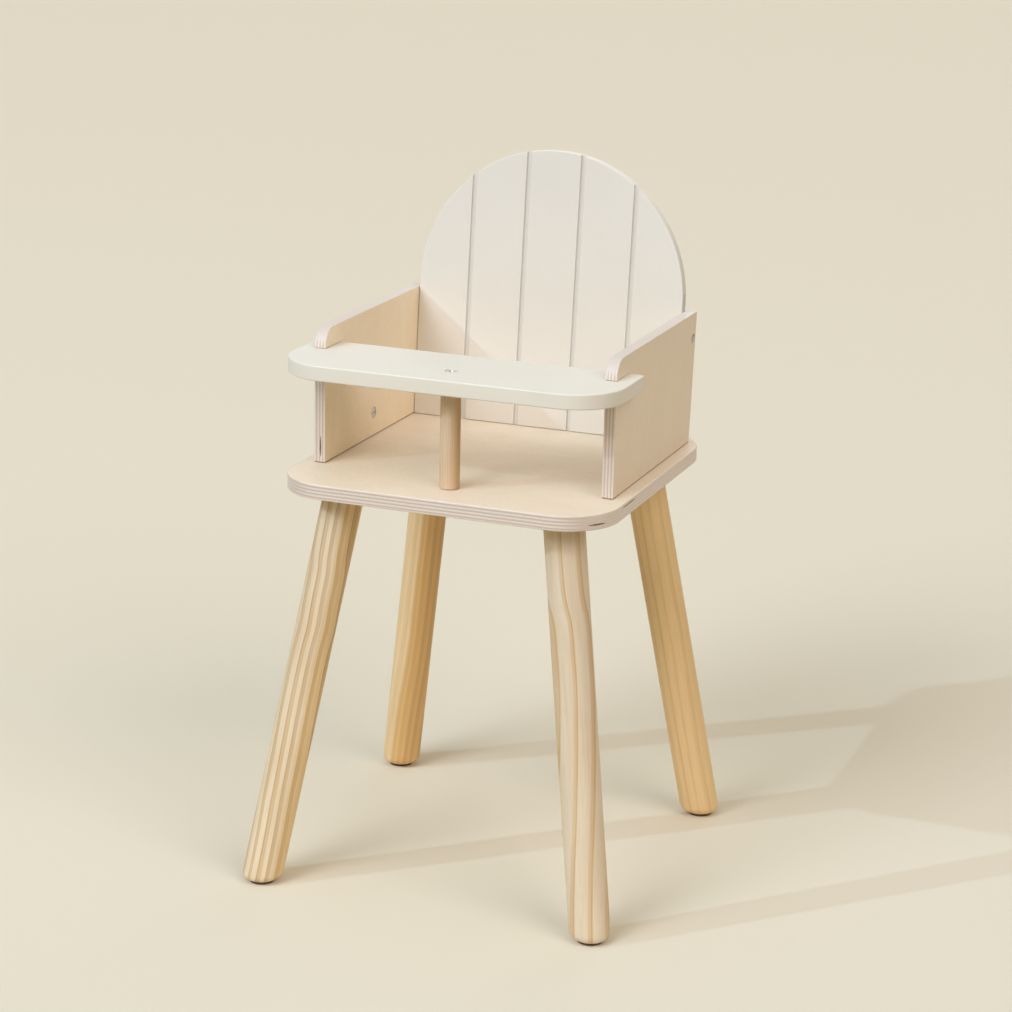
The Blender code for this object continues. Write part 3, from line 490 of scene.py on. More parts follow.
def build_plywood():
    """Node group: plies stacked along Z. The first ply's grain runs along X, the next along Y."""
    tree = bpy.data.node_groups.new("plywood", "ShaderNodeTree")
    for name, kind in (("Point", "Vector"), ("Normal", "Vector"), ("Thickness", "Float"),
                       ("Plies", "Float"), ("Seed", "Float")):
        tree.interface.new_socket(name, in_out="INPUT", socket_type=f"NodeSocket{kind}")
    for name in ("End Grain", "Glue", "Edge", "Fibre", "Figure", "Flecks"):
        tree.interface.new_socket(name, in_out="OUTPUT", socket_type="NodeSocketFloat")
    source = add_node(tree, "NodeGroupInput").outputs
    sink = add_node(tree, "NodeGroupOutput").inputs
    point = source["Point"]
    place = add_node(tree, "ShaderNodeSeparateXYZ", {0: point}).outputs
    facing = add_node(tree, "ShaderNodeSeparateXYZ", {0: source["Normal"]}).outputs
    waver = compute(tree, "SUBTRACT", cloud(tree, point, (60, 60, 60), 2, source["Seed"]), 0.5)
    depth = compute(tree, "DIVIDE", place["Z"], source["Thickness"])
    through = compute(tree, "MULTIPLY", depth, source["Plies"])
    through = compute(tree, "MULTIPLY_ADD", waver, 0.22, through)
    last = compute(tree, "SUBTRACT", source["Plies"], 1.0)
    ply = compute(tree, "MINIMUM", compute(tree, "MAXIMUM", compute(tree, "FLOOR", through), 0.0), last)
    crossed = compute(tree, "MODULO", ply, 2.0)
    along_x = compute(tree, "ABSOLUTE", facing["X"])
    along_y = compute(tree, "ABSOLUTE", facing["Y"])
    endwise = compute(tree, "MULTIPLY_ADD", crossed, compute(tree, "SUBTRACT", along_y, along_x),
                      along_x)
    edge = ease(tree, compute(tree, "ABSOLUTE", facing["Z"]), 0.25, 0.9, 1.0, 0.0)
    joint = compute(tree, "PINGPONG", through, 0.5)
    core = ease(tree, joint, 0.06, 0.34, 0.25, 1.0)
    tree.links.new(compute(tree, "MULTIPLY", ease(tree, endwise, 0.15, 0.85), core), sink["End Grain"])
    tree.links.new(edge, sink["Edge"])
    glued = ease(tree, joint, 0.0, 0.09, 1.0, 0.0)
    inner = compute(tree, "MULTIPLY", compute(tree, "GREATER_THAN", through, 0.5),
                    compute(tree, "LESS_THAN", through, compute(tree, "ADD", last, 0.5)))
    tree.links.new(compute(tree, "MULTIPLY", compute(tree, "MULTIPLY", glued, inner), edge),
                   sink["Glue"])
    own = compute(tree, "MULTIPLY_ADD", ply, 7.31, source["Seed"])
    with_x = cloud(tree, point, (55, 1700, 1700), 3, own)
    with_y = cloud(tree, point, (1700, 55, 1700), 3, own)
    fibre = add_node(tree, "ShaderNodeMix", {0: crossed, 2: with_x, 3: with_y}).outputs[0]
    tree.links.new(fibre, sink["Fibre"])
    peel = cloud(tree, point, (7, 17, 17), 3, own, 1.2)
    bands = compute(tree, "PINGPONG", compute(tree, "MULTIPLY", peel, 5.0), 0.5)
    tree.links.new(compute(tree, "MULTIPLY_ADD", bands, 0.5, compute(tree, "MULTIPLY", peel, 0.8)),
                   sink["Figure"])
    flecks = ease(tree, cloud(tree, point, (330, 3300, 3300), 1, own), 0.66, 0.78)
    tree.links.new(flecks, sink["Flecks"])
    return tree


PLYWOOD = build_plywood()


def make_birch(name, corner, turn, thickness, plies, seed, tones, voids, foot=0.0):
    """Birch plywood: a pale peeled face and bare plies at the edges, with a few dark voids.

    Where an edge looks up or sideways, its plies and glue lines are painted fainter, and up-facing
    edges take a cooler tone of their own: painted light, for the sheen and shade that the lamps put
    on those edges. Up to the foot's height the board is painted brown, painted shade of its joint.
    """
    material, tree, shader, point = start_material(name)
    inputs = {"Vector": point, "Location": corner, "Rotation": turn}
    board = add_node(tree, "ShaderNodeMapping", inputs, vector_type="TEXTURE").outputs[0]
    normal = add_node(tree, "ShaderNodeTexCoord").outputs["Normal"]
    inputs = {"Vector": normal, "Rotation": turn}
    facing = add_node(tree, "ShaderNodeMapping", inputs, vector_type="TEXTURE").outputs[0]
    ply = link_group(tree, PLYWOOD, {"Point": board, "Normal": facing, "Thickness": thickness,
                                     "Plies": plies, "Seed": seed})
    figure = ease(tree, ply["Figure"], 0.25, 0.75)
    face = blend_colors(tree, figure, *tones)
    normal = add_node(tree, "ShaderNodeSeparateXYZ", {0: normal}).outputs
    # Painted light: the plies fade on edges that look up or sideways, and up-facing edges turn cooler.
    upwards = ease(tree, normal["Z"], 0.15, 0.6)
    sideways = ease(tree, compute(tree, "ABSOLUTE", normal["X"]), 0.5, 0.95)
    sanded = compute(tree, "MAXIMUM", upwards, sideways)
    plain = compute(tree, "MULTIPLY_ADD", sanded, -0.72, 1.0)
    edge = blend_colors(tree, upwards, BIRCH_SIDE_GRAIN, BIRCH_TOP_EDGE_PAINTED_LIGHT)
    edge = blend_colors(tree, compute(tree, "MULTIPLY", ply["End Grain"], plain), edge,
                        BIRCH_END_GRAIN)
    color = blend_colors(tree, ply["Edge"], face, edge)
    thread = ease(tree, ply["Fibre"], 0.45, 0.75, 0.0, 0.05)
    color = blend_colors(tree, thread, color, BIRCH_FIBRE)
    mottle = ease(tree, cloud(tree, point, (520, 520, 520), 4, seed + 6), 0.42, 0.75, 0.0, 0.13)
    color = blend_colors(tree, mottle, color, BIRCH_MOTTLE)
    flecks = compute(tree, "MULTIPLY", ply["Flecks"], 0.18)
    color = blend_colors(tree, flecks, color, BIRCH_FLECK)
    glue = compute(tree, "MULTIPLY", compute(tree, "MULTIPLY", ply["Glue"], plain), 0.3)
    color = blend_colors(tree, glue, color, PLY_GLUE)
    # Each void is painted dark: painted shade of the hollow, which the mesh does not cut.
    void_shade = None
    for place, reach in voids:
        inputs = {"Vector": point, "Location": place, "Scale": reach}
        near = add_node(tree, "ShaderNodeMapping", inputs, vector_type="TEXTURE").outputs[0]
        away = add_node(tree, "ShaderNodeVectorMath", {0: near}, operation="LENGTH")
        ragged = compute(tree, "MULTIPLY_ADD", cloud(tree, point, (900, 900, 900)), 0.8,
                         away.outputs["Value"])
        depth = ease(tree, ragged, 1.0, 1.5, 1.0, 0.0)
        void_shade = depth if void_shade is None else compute(tree, "MAXIMUM", void_shade, depth)
    if void_shade is not None:
        color = blend_colors(tree, void_shade, color, PLY_VOID_SHADE)
    # Painted shade: the board turns brown just above its foot, where it meets the seat.
    if foot:
        height = add_node(tree, "ShaderNodeSeparateXYZ", {0: point}).outputs["Z"]
        joint_shade = ease(tree, height, foot, foot + 0.0006, 0.75, 0.0)
        color = blend_colors(tree, joint_shade, color, JOINT_SHADE_BROWN)
    feed(tree, shader, base_color=color, roughness=ease(tree, ply["Fibre"], 0.3, 0.7, 0.40, 0.52))
    height = compute(tree, "MULTIPLY_ADD", ply["Flecks"], -1.0, ply["Fibre"])
    raise_surface(tree, shader, height, 0.00006)
    return material


def countersink(bm, face, inwards, head, shank, sunk, rim, thickness):
    """Drill right through a board and sink a cone, so that a screw's head lies below the face."""
    cone = [(0, -CUT_OVERRUN), (head, -CUT_OVERRUN), (head, sunk + rim),
            (shank, sunk + rim + head - shank), (shank, thickness + CUT_OVERRUN),
            (0, thickness + CUT_OVERRUN)]
    return carve(bm, turn_profile(cone, face, inwards, 64))


seat_corners = [(sx * SEAT_HALF_WIDTH, sy * SEAT_HALF_DEPTH, SEAT_CORNER_RADIUS)
                for sx, sy in ((1, 1), (-1, 1), (-1, -1), (1, -1))]
seat = raise_board(seat_corners, SEAT_THICKNESS, 40)
round_edges(seat, SEAT_EDGE_ROUND, 4)
bmesh.ops.translate(seat, verts=seat.verts[:], vec=UP * SEAT_BOTTOM)
for corner in CORNERS.values():
    seat = drill(seat, leg_foot(corner, SEAT_BOTTOM), UP, *INSERT_BORES)
for side in (-1, 1):
    below = Vector((side * PANEL_MIDDLE_X, PANEL_MIDDLE_Y, SEAT_BOTTOM))
    seat = drill(seat, below, UP, *PANEL_BOLT_BORES)
    pins = [(side * PANEL_MIDDLE_X, PANEL_MIDDLE_Y + way * PIN_REACH) for way in (-1, 1)]
    for x, y in pins + [(side * BACK_PIN_X, BACK_PIN_Y)]:
        seat = drill(seat, Vector((x, y, SEAT_TOP)), DOWN, (PIN_HOLE, PIN_IN_SEAT), steps=24)
seat = countersink(seat, POST_PLACE + UP * SEAT_BOTTOM, UP, POST_SCREW_HEAD_BORE, WOOD_SCREW_BORE,
                   POST_SCREW_SUNK, COUNTERSUNK_RIM, SEAT_THICKNESS)
SEAT_WOOD = make_birch("birch plywood of the seat", (0, 0, SEAT_BOTTOM), (0, 0, 0),
                       SEAT_THICKNESS, SEAT_PLIES, 2.0, SEAT_TONES, SEAT_VOIDS)
finish_piece("birch_seat", seat, SEAT_WOOD, "seat_board")


# Side panels
# Seven plies of birch, 9 mm, with the face grain upright. The front has a slot that grips the
# tray under a rounded nose, and the rear edge leans back with the backrest.

PANEL_INNER_X = 0.114
PANEL_THICKNESS = 0.009
PANEL_PLIES = 7
PANEL_EDGE_ROUND = 0.0006
PANEL_FOOT = SEAT_TOP + CLEARANCE
PANEL_TOP = 0.4365
PANEL_FRONT = -0.076
PANEL_REAR = 0.1105
RECLINE = math.radians(4.75)
SLOT_FLOOR = 0.4087
SLOT_ROOF = 0.4213
SLOT_END = -0.046
SLOT_CORNER = 0.0015
NOSE_RADIUS = 0.015
NUT_HEIGHT = 0.0193
BACK_SCREW_PLACE = Vector((0, 0.111053, 0.415373))
BACK_SCREW_FACE = 0.123
BACK_SCREW_BORES = ((0.0043, 0.0040), (0.0023, 0.011))
PANEL_BOLT_BORE = (0.0028, 0.0268)
NUT_BORE = (0.0048, 0.0082)
# How far above the panel's foot the painted joint shade reaches.
JOINT_SHADE_RISE = 0.0004

lean = (PANEL_TOP - SEAT_TOP) * math.tan(RECLINE)
panel_corners = [
    (PANEL_FRONT, PANEL_FOOT, 0),
    (PANEL_REAR, PANEL_FOOT, 0),
    (PANEL_REAR + lean, PANEL_TOP, 0),
    (PANEL_FRONT, PANEL_TOP, NOSE_RADIUS),
    (PANEL_FRONT, SLOT_ROOF, 0),
    (SLOT_END, SLOT_ROOF, SLOT_CORNER),
    (SLOT_END, SLOT_FLOOR, SLOT_CORNER),
    (PANEL_FRONT, SLOT_FLOOR, 0),
]
PANEL_VOIDS = {
    "left": [((-0.1178, -0.076, 0.3430), (0.0007, 0.0060, 0.0095))],
    "right": [],
}
# The left panel is painted lighter and more golden than the right one: painted light, for its inner
# face.
PANEL_TONES = {
    "left": ((0.900, 0.760, 0.550, 1), (0.875, 0.715, 0.500, 1)),
    "right": ((0.888, 0.730, 0.530, 1), (0.876, 0.714, 0.514, 1)),
}
for label, side in {"left": -1, "right": 1}.items():
    panel = raise_board(panel_corners, PANEL_THICKNESS, 20)
    round_edges(panel, PANEL_EDGE_ROUND, 3,
                lambda edge: max(vert.co.y for vert in edge.verts) > PANEL_FOOT + SAME_POINT)
    near_face = min(side * PANEL_INNER_X, side * (PANEL_INNER_X + PANEL_THICKNESS))
    upright = Euler((math.pi / 2, 0, math.pi / 2)).to_matrix().to_4x4()
    panel.transform(Matrix.Translation((near_face, 0, 0)) @ upright)
    middle = Vector((side * PANEL_MIDDLE_X, PANEL_MIDDLE_Y, PANEL_FOOT))
    panel = drill(panel, middle, UP, PANEL_BOLT_BORE)
    for way in (-1, 1):
        foot = middle + Vector((0, way * PIN_REACH, 0))
        panel = drill(panel, foot, UP, (PIN_HOLE, PIN_IN_BOARD - CLEARANCE), steps=24)
    mouth = Vector((side * PANEL_INNER_X, PANEL_MIDDLE_Y, SEAT_TOP + NUT_HEIGHT))
    panel = drill(panel, mouth, Vector((side, 0, 0)), NUT_BORE)
    outside = BACK_SCREW_PLACE + Vector((side * BACK_SCREW_FACE, 0, 0))
    panel = drill(panel, outside, Vector((-side, 0, 0)), *BACK_SCREW_BORES)
    high_face = max(side * PANEL_INNER_X, side * (PANEL_INNER_X + PANEL_THICKNESS))
    wood = make_birch(f"birch plywood of the {label} panel", (high_face, 0, 0),
                      (0, -math.pi / 2, 0), PANEL_THICKNESS, PANEL_PLIES, 40.0 + side * 9,
                      PANEL_TONES[label], PANEL_VOIDS[label], PANEL_FOOT + JOINT_SHADE_RISE)
    finish_piece(f"birch_panel_{label}", panel, wood, f"side_panel_{label}")


# Back
# One 9 mm board with an arched top and four coves down its front, which part it into five
# planks. It stands tilted between the panels and is sprayed a warm white satin all over.

BACK_WIDTH = 0.2274
BACK_HEIGHT = 0.22596
BACK_THICKNESS = 0.009
BACK_FOOT = Vector((0, 0.1085, PANEL_FOOT))
BACK_EDGE_ROUND = 0.0008
BACK_TURN = Euler((math.pi / 2 - RECLINE, 0, 0)).to_matrix().to_4x4()
BACK_SCREW_START = 0.1218
BACK_SCREW_BORE = (0.0023, 0.0303)
PLANK_WIDTH = 0.0462
COVES = 4
COVE_RUN_OUT = 0.01
COVE_HALF_PROFILE = [
    (0.00220, 0.00100), (0.00220, 0.00000), (0.00206, -0.00002), (0.00196, -0.00008),
    (0.00189, -0.00020), (0.00182, -0.00060), (0.00170, -0.00118), (0.00158, -0.00145),
    (0.00135, -0.00163), (0.00100, -0.00170), (0.00000, -0.00172),
]
COVE_HALF_WIDTH = 0.0021
BACK_WHITE = (0.808, 0.745, 0.636, 1)
COVE_FLOOR_SHADE = (0.745, 0.692, 0.598, 1)
COVE_WALL_SHADE = (0.660, 0.635, 0.605, 1)
PAINT_CLOUD = (0.60, 0.50, 0.38, 1)
PAINT_SPECK = (0.52, 0.47, 0.40, 1)


def make_paint(name, seed, white, shaded_side_white, pitch=0.0):
    """Warm white satin paint, sprayed on sanded board, with a fine skin and faint fibres.

    In coves of the given pitch it is painted greyer, most of all on their walls: painted shade of the
    coves.
    """
    material, tree, shader, point = start_material(name)
    skin = cloud(tree, point, (900, 900, 900), 2, seed)
    soft = cloud(tree, point, (14, 14, 14), 2, seed + 5)
    specks = ease(tree, cloud(tree, point, (2600, 2600, 2600), 1, seed + 9), 0.72, 0.8)
    facing = add_node(tree, "ShaderNodeTexCoord").outputs["Normal"]
    facing = add_node(tree, "ShaderNodeSeparateXYZ", {0: facing}).outputs
    # Upright faces take the side colour: painted light, for the warmer, dimmer light that falls on them.
    upright = ease(tree, compute(tree, "ABSOLUTE", facing["Z"]), 0.3, 0.8, 1.0, 0.0)
    color = blend_colors(tree, upright, white, shaded_side_white)
    color = blend_colors(tree, ease(tree, soft, 0.3, 0.7, 0.0, 0.08), color, PAINT_CLOUD)
    color = blend_colors(tree, compute(tree, "MULTIPLY", specks, 0.12), color, PAINT_SPECK)
    # Painted shade in the coves: greyer floors and darker walls.
    if pitch:
        across = add_node(tree, "ShaderNodeSeparateXYZ", {0: point}).outputs["X"]
        place = compute(tree, "FRACT", compute(tree, "DIVIDE", across, pitch))
        away = compute(tree, "ABSOLUTE", compute(tree, "SUBTRACT", place, 0.5))
        inside = compute(tree, "LESS_THAN", away, COVE_HALF_WIDTH / pitch)
        front = ease(tree, facing["Y"], 0.2, 0.5, 1.0, 0.0)
        wall = ease(tree, facing["X"], 0.85, 0.99)
        cove_shade = blend_colors(tree, wall, COVE_FLOOR_SHADE, COVE_WALL_SHADE)
        color = blend_colors(tree, compute(tree, "MULTIPLY", inside, front), color, cove_shade)
    feed(tree, shader, base_color=color, roughness=ease(tree, skin, 0.3, 0.7, 0.46, 0.56))
    raise_surface(tree, shader, skin, 0.00004)
    return material


half = BACK_WIDTH / 2
low = -BACK_THICKNESS * math.tan(RECLINE)
back_corners = [(-half, low, 0), (half, low, 0), (half, BACK_HEIGHT, half),
                (-half, BACK_HEIGHT, half)]
back = raise_board(back_corners, BACK_THICKNESS, 72)
trim(back, (0, 0, 0), BACK_TURN.to_3x3().inverted() @ DOWN)
round_edges(back, BACK_EDGE_ROUND, 4)
coves = bmesh.new()
for index in range(COVES):
    x = (index - (COVES - 1) / 2) * PLANK_WIDTH
    outline = [(-across, out) for across, out in COVE_HALF_PROFILE[:-1]]
    outline += [(across, out) for across, out in reversed(COVE_HALF_PROFILE)]
    ring = [coves.verts.new((x + across, -COVE_RUN_OUT, BACK_THICKNESS + out))
            for across, out in outline]
    end = coves.faces.new(ring)
    run = bmesh.ops.extrude_face_region(coves, geom=[end])["geom"]
    far = [item for item in run if isinstance(item, bmesh.types.BMVert)]
    bmesh.ops.translate(coves, verts=far, vec=(0, BACK_HEIGHT + 2 * COVE_RUN_OUT, 0))
bmesh.ops.recalc_face_normals(coves, faces=coves.faces[:])
back = carve(back, coves)
back.transform(Matrix.Translation(BACK_FOOT) @ BACK_TURN)
for side in (-1, 1):
    foot = Vector((side * BACK_PIN_X, BACK_PIN_Y, PANEL_FOOT))
    back = drill(back, foot, UP, (PIN_HOLE, PIN_IN_BOARD - CLEARANCE), steps=24)
    edge = BACK_SCREW_PLACE + Vector((side * BACK_SCREW_START, 0, 0))
    back = drill(back, edge, Vector((-side, 0, 0)), BACK_SCREW_BORE, steps=24)
BACK_PAINT = make_paint("warm white paint of the back", 4.0, BACK_WHITE, BACK_WHITE, PLANK_WIDTH)
finish_piece("painted_back", back, BACK_PAINT, "back_panel")


# Post
# A thin round dowel of pine between the seat and the tray, with close, even grain. One screw
# comes up into it through the seat and one comes down through the tray.

POST_RADIUS = 0.0078
POST_ROUND = 0.0008
TRAY_SCREW_IN_POST = 0.0289
POST_SCREW_IN_POST = 0.0304
TRAY_BOTTOM = 0.409
TRAY_THICKNESS = 0.012
TRAY_TOP = TRAY_BOTTOM + TRAY_THICKNESS

head = POST_PLACE + UP * (TRAY_BOTTOM - CLEARANCE)
foot = POST_PLACE + UP * (SEAT_TOP + CLEARANCE)
length = (head - foot).length
bar = [(0, 0), (POST_RADIUS, 0), (POST_RADIUS, length), (0, length)]
post = turn_profile(bar, foot, UP, 96)
round_edges(post, POST_ROUND, 4)
post = drill(post, head, DOWN, (WOOD_SCREW_BORE, TRAY_SCREW_IN_POST), steps=32)
post = drill(post, foot, UP, (WOOD_SCREW_BORE, POST_SCREW_IN_POST), steps=32)
# The post's heart colour is a broad band that darkens its shaded side: painted shade, not heartwood.
POST_WOOD = make_pine(
    "close pine of the post", foot, head, pale=(0.800, 0.600, 0.400, 1), late=(0.520, 0.310, 0.130, 1),
    heart_and_shade_color=(0.585, 0.370, 0.168, 1), pith=(0.07, 0.02), heart_and_shade_radius=0.0705, heart_and_shade_fade=0.0065,
    pale_bands=0.6, ring_width=0.0012, late_share=0.5, wander=0.002, bends=[(0.0, 0.0), (1.0, 0.0)],
    seed=57.0)
finish_piece("turned_post", post, POST_WOOD, "tray_post")


# Tray
# A 12 mm board with two wide round front corners, its edges rounded over, painted like the
# back. It lies in both panels' slots and on the post, held by one sunk screw.

TRAY_HALF_WIDTH = 0.135
TRAY_REAR = -0.0463
TRAY_FRONT = -0.1303
TRAY_CORNER = 0.041
TRAY_REAR_CORNER = 0.003
TRAY_EDGE_ROUND = 0.0012
TRAY_SCREW_HEAD_BORE = 0.0052
TRAY_SCREW_SUNK = 0.0006
TRAY_WHITE = (0.808, 0.768, 0.662, 1)
# The tray's upright edges take this tone: painted light, not a different paint.
TRAY_EDGE_SHADE_WHITE = (0.838, 0.765, 0.628, 1)

tray_corners = [
    (TRAY_HALF_WIDTH, TRAY_REAR, TRAY_REAR_CORNER),
    (-TRAY_HALF_WIDTH, TRAY_REAR, TRAY_REAR_CORNER),
    (-TRAY_HALF_WIDTH, TRAY_FRONT, TRAY_CORNER),
    (TRAY_HALF_WIDTH, TRAY_FRONT, TRAY_CORNER),
]
tray = raise_board(tray_corners, TRAY_THICKNESS, 40)
round_edges(tray, TRAY_EDGE_ROUND, 4)
bmesh.ops.translate(tray, verts=tray.verts[:], vec=UP * TRAY_BOTTOM)
tray = countersink(tray, POST_PLACE + UP * TRAY_TOP, DOWN, TRAY_SCREW_HEAD_BORE, WOOD_SCREW_BORE,
                   TRAY_SCREW_SUNK, COUNTERSUNK_RIM, TRAY_THICKNESS)
TRAY_PAINT = make_paint("warm white paint of the tray", 8.0, TRAY_WHITE, TRAY_EDGE_SHADE_WHITE)
finish_piece("painted_tray", tray, TRAY_PAINT, "tray_board")


# Barrel nuts and screws that show
# Zinc-plated steel: a slotted barrel nut in the inner face of each panel, a cross-recess screw
# through the rear of each panel into the back, and the countersunk screw of the tray.

NUT_RADIUS = 0.0045
NUT_LENGTH = 0.0076
NUT_SUNK = 0.0003
NUT_EDGE = 0.0003
NUT_SLOT_WIDTH = 0.0014
NUT_SLOT_DEPTH = 0.0012
NUT_THREAD_SETBACK = 0.0042
NUT_THREAD_BORE = (0.0028, 0.012)
NUT_CLEAR = 0.001
ZINC_BRIGHT = (0.80, 0.80, 0.82, 1)
ZINC_CLOUDED = (0.52, 0.51, 0.50, 1)
BACK_SCREW_PROFILE = [
    (0, 0), (0.0034, 0.0), (0.0039, 0.00035), (0.004, 0.0008), (0.004, 0.0025),
    (0.002, 0.0025), (0.002, 0.026), (0, 0.030),
]
TRAY_SCREW_PROFILE = [
    (0, 0), (0.0047, 0), (0.0049, 0.0002), (0.0049, 0.0005),
    (0.00225, 0.00315), (0.00225, 0.0355), (0, 0.040),
]
BACK_SCREW_CROSS = (0.0024, 0.0011, 0.0016)
TRAY_SCREW_CROSS = (0.0027, 0.0012, 0.0018)
CROSS_TAPER = 0.45


def make_steel(name, tint, roughness, turn_scale):
    """Zinc-plated steel, with fine tool marks and a slightly clouded plating."""
    material, tree, shader, point = start_material(name)
    marks = cloud(tree, point, turn_scale, 3, 6.0)
    plating = cloud(tree, point, (420, 420, 420), 3, 2.0)
    color = blend_colors(tree, ease(tree, plating, 0.3, 0.7), tint, ZINC_CLOUDED)
    low = roughness - 0.08
    high = roughness + 0.12
    feed(tree, shader, base_color=color, roughness=ease(tree, plating, 0.3, 0.75, low, high))
    shader.inputs["Metallic"].default_value = 1.0
    raise_surface(tree, shader, marks, 0.00002)
    return material


ZINC = make_steel("zinc-plated steel", ZINC_BRIGHT, 0.34, (900, 900, 4200))
for label, side in {"left": -1, "right": 1}.items():
    outwards = Vector((side, 0, 0))
    face = Vector((side * (PANEL_INNER_X + NUT_SUNK), PANEL_MIDDLE_Y, SEAT_TOP + NUT_HEIGHT))
    barrel = [(0, 0), (NUT_RADIUS, 0), (NUT_RADIUS, NUT_LENGTH), (0, NUT_LENGTH)]
    nut = turn_profile(barrel, face, outwards, 64)
    round_edges(nut, NUT_EDGE, 3)
    below = face + DOWN * (NUT_RADIUS + NUT_CLEAR) + outwards * NUT_THREAD_SETBACK
    nut = drill(nut, below, UP, NUT_THREAD_BORE)
    slot = bmesh.new()
    size = (2 * NUT_SLOT_DEPTH, 3 * NUT_RADIUS, NUT_SLOT_WIDTH)
    bmesh.ops.create_cube(slot, size=1, matrix=Matrix.Translation(face) @ Matrix.Diagonal(size).to_4x4())
    nut = carve(nut, slot)
    finish_piece(f"slotted_nut_{label}", nut, ZINC, f"barrel_nut_{label}")


def cross_recess(bm, face, inwards, reach, width, depth):
    """Punch a cross for the driver into a screw's head, narrower at the bottom."""
    turn = inwards.to_track_quat("Z", "Y").to_matrix().to_4x4()
    for quarter in (0, 1):
        blade = bmesh.new()
        bmesh.ops.create_cube(blade, size=1, matrix=Matrix.Diagonal((2 * reach, width, 2 * depth, 1)))
        for vert in blade.verts:
            if vert.co.z > 0:
                vert.co.x *= CROSS_TAPER
        blade.transform(Matrix.Translation(face) @ turn @ Matrix.Rotation(quarter * math.pi / 2, 4, "Z"))
        bm = carve(bm, blade)
    return bm


for label, side in {"left": -1, "right": 1}.items():
    inwards = Vector((-side, 0, 0))
    place = BACK_SCREW_PLACE + Vector((side * BACK_SCREW_START, 0, 0))
    screw = turn_profile(BACK_SCREW_PROFILE, place, inwards, 64)
    screw = cross_recess(screw, place, inwards, *BACK_SCREW_CROSS)
    finish_piece(f"panel_screw_{label}", screw, ZINC, f"back_screw_{label}")

place = POST_PLACE + UP * (TRAY_TOP - TRAY_SCREW_SUNK)
screw = turn_profile(TRAY_SCREW_PROFILE, place, DOWN, 64)
screw = cross_recess(screw, place, DOWN, *TRAY_SCREW_CROSS)
finish_piece("sunk_tray_screw", screw, ZINC, "tray_screw")


# Fixings inside the joints
# Hanger bolts and inserts of the legs, bolts of the panels, the post's lower screw and the
# beech pins. They sit in the boards as solid pieces and only show where the chair is apart.

BEECH_PALE = (0.66, 0.46, 0.29, 1)
BEECH_DARK = (0.55, 0.36, 0.21, 1)
BEECH_FLECK = (0.30, 0.17, 0.09, 1)


def make_beech():
    """Beech dowel: even pinkish brown with short dark flecks along the grain."""
    material, tree, shader, point = start_material("beech dowel")
    fibre = cloud(tree, point, (2400, 2400, 120), 3, 3.0)
    fleck = ease(tree, cloud(tree, point, (3800, 3800, 420), 1, 7.0), 0.6, 0.72)
    color = blend_colors(tree, ease(tree, fibre, 0.3, 0.7), BEECH_PALE, BEECH_DARK)
    color = blend_colors(tree, compute(tree, "MULTIPLY", fleck, 0.5), color, BEECH_FLECK)
    feed(tree, shader, base_color=color, roughness=ease(tree, fibre, 0.3, 0.7, 0.55, 0.7))
    raise_surface(tree, shader, fibre, 0.00006)
    return material


BEECH = make_beech()
for name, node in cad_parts.items():
    if name.startswith(("panel_pin", "back_pin")):
        node.material_slots[0].material = BEECH
    if name.startswith(("leg_bolt", "leg_insert", "panel_bolt", "post_screw")):
        node.material_slots[0].material = ZINC


# Studio
# A cream floor fills the picture. A small bare lamp at the front left draws the crisp shadows.
# Broad lamps beside the camera, above and behind fill them, and the studio's walls stay dim.

FLOOR_CREAM = (0.770, 0.698, 0.545, 1)
FLOOR_FAR = (0.20, 0.18, 0.14, 1)
FLOOR_HALF_SIZE = 20
STUDIO_FILL = (1.0, 0.815, 0.515, 1)
STUDIO_FILL_STRENGTH = 0.34
STUDIO_SHOWN = (0.80, 0.76, 0.66, 1)
HARD_LAMP_PLACE = Vector((-1.4407, -1.3513, 1.4825))
HARD_LAMP_COLOR = (0.507, 0.780, 1.0)
HARD_LAMP_POWER = 8.5
HARD_LAMP_RADIUS = 0.010
LAMPS = {
    "broad_left": (-22.0, 35.0, 22.0, 0.758, (0.876, 0.879, 1.0)),
    "wide_left": (-22.0, 41.0, 40.0, 1.228, (0.699, 0.824, 1.0)),
    "wide_right": (60.0, 38.0, 40.0, 1.086, (0.991, 0.956, 1.0)),
    "overhead": (0.0, 89.9, 60.0, 0.47, (0.62, 0.77, 1.0)),
    "behind": (180.0, 15.0, 40.0, 0.60, (0.75, 0.88, 1.0)),
}

floor_mesh = bmesh.new()
bmesh.ops.create_grid(floor_mesh, x_segments=1, y_segments=1, size=FLOOR_HALF_SIZE)
mesh = bpy.data.meshes.new("studio_floor")
floor_mesh.to_mesh(mesh)
floor_mesh.free()
floor = bpy.data.objects.new("studio_floor", mesh)
bpy.context.scene.collection.objects.link(floor)
material, tree, shader, point = start_material("cream floor")
path = add_node(tree, "ShaderNodeLightPath").outputs
away = add_node(tree, "ShaderNodeVectorMath", {0: point}, operation="LENGTH").outputs["Value"]
far = ease(tree, away, 0.6, 1.2)
seen = compute(tree, "MAXIMUM", path["Is Camera Ray"], path["Is Glossy Ray"])
seen = compute(tree, "MAXIMUM", seen, path["Is Transmission Ray"])
dim = compute(tree, "MULTIPLY", far, compute(tree, "SUBTRACT", 1.0, seen))
feed(tree, shader, base_color=blend_colors(tree, dim, FLOOR_CREAM, FLOOR_FAR))
shader.inputs["Roughness"].default_value = 1.0
shader.inputs["Specular IOR Level"].default_value = 0.0
mesh.materials.append(material)

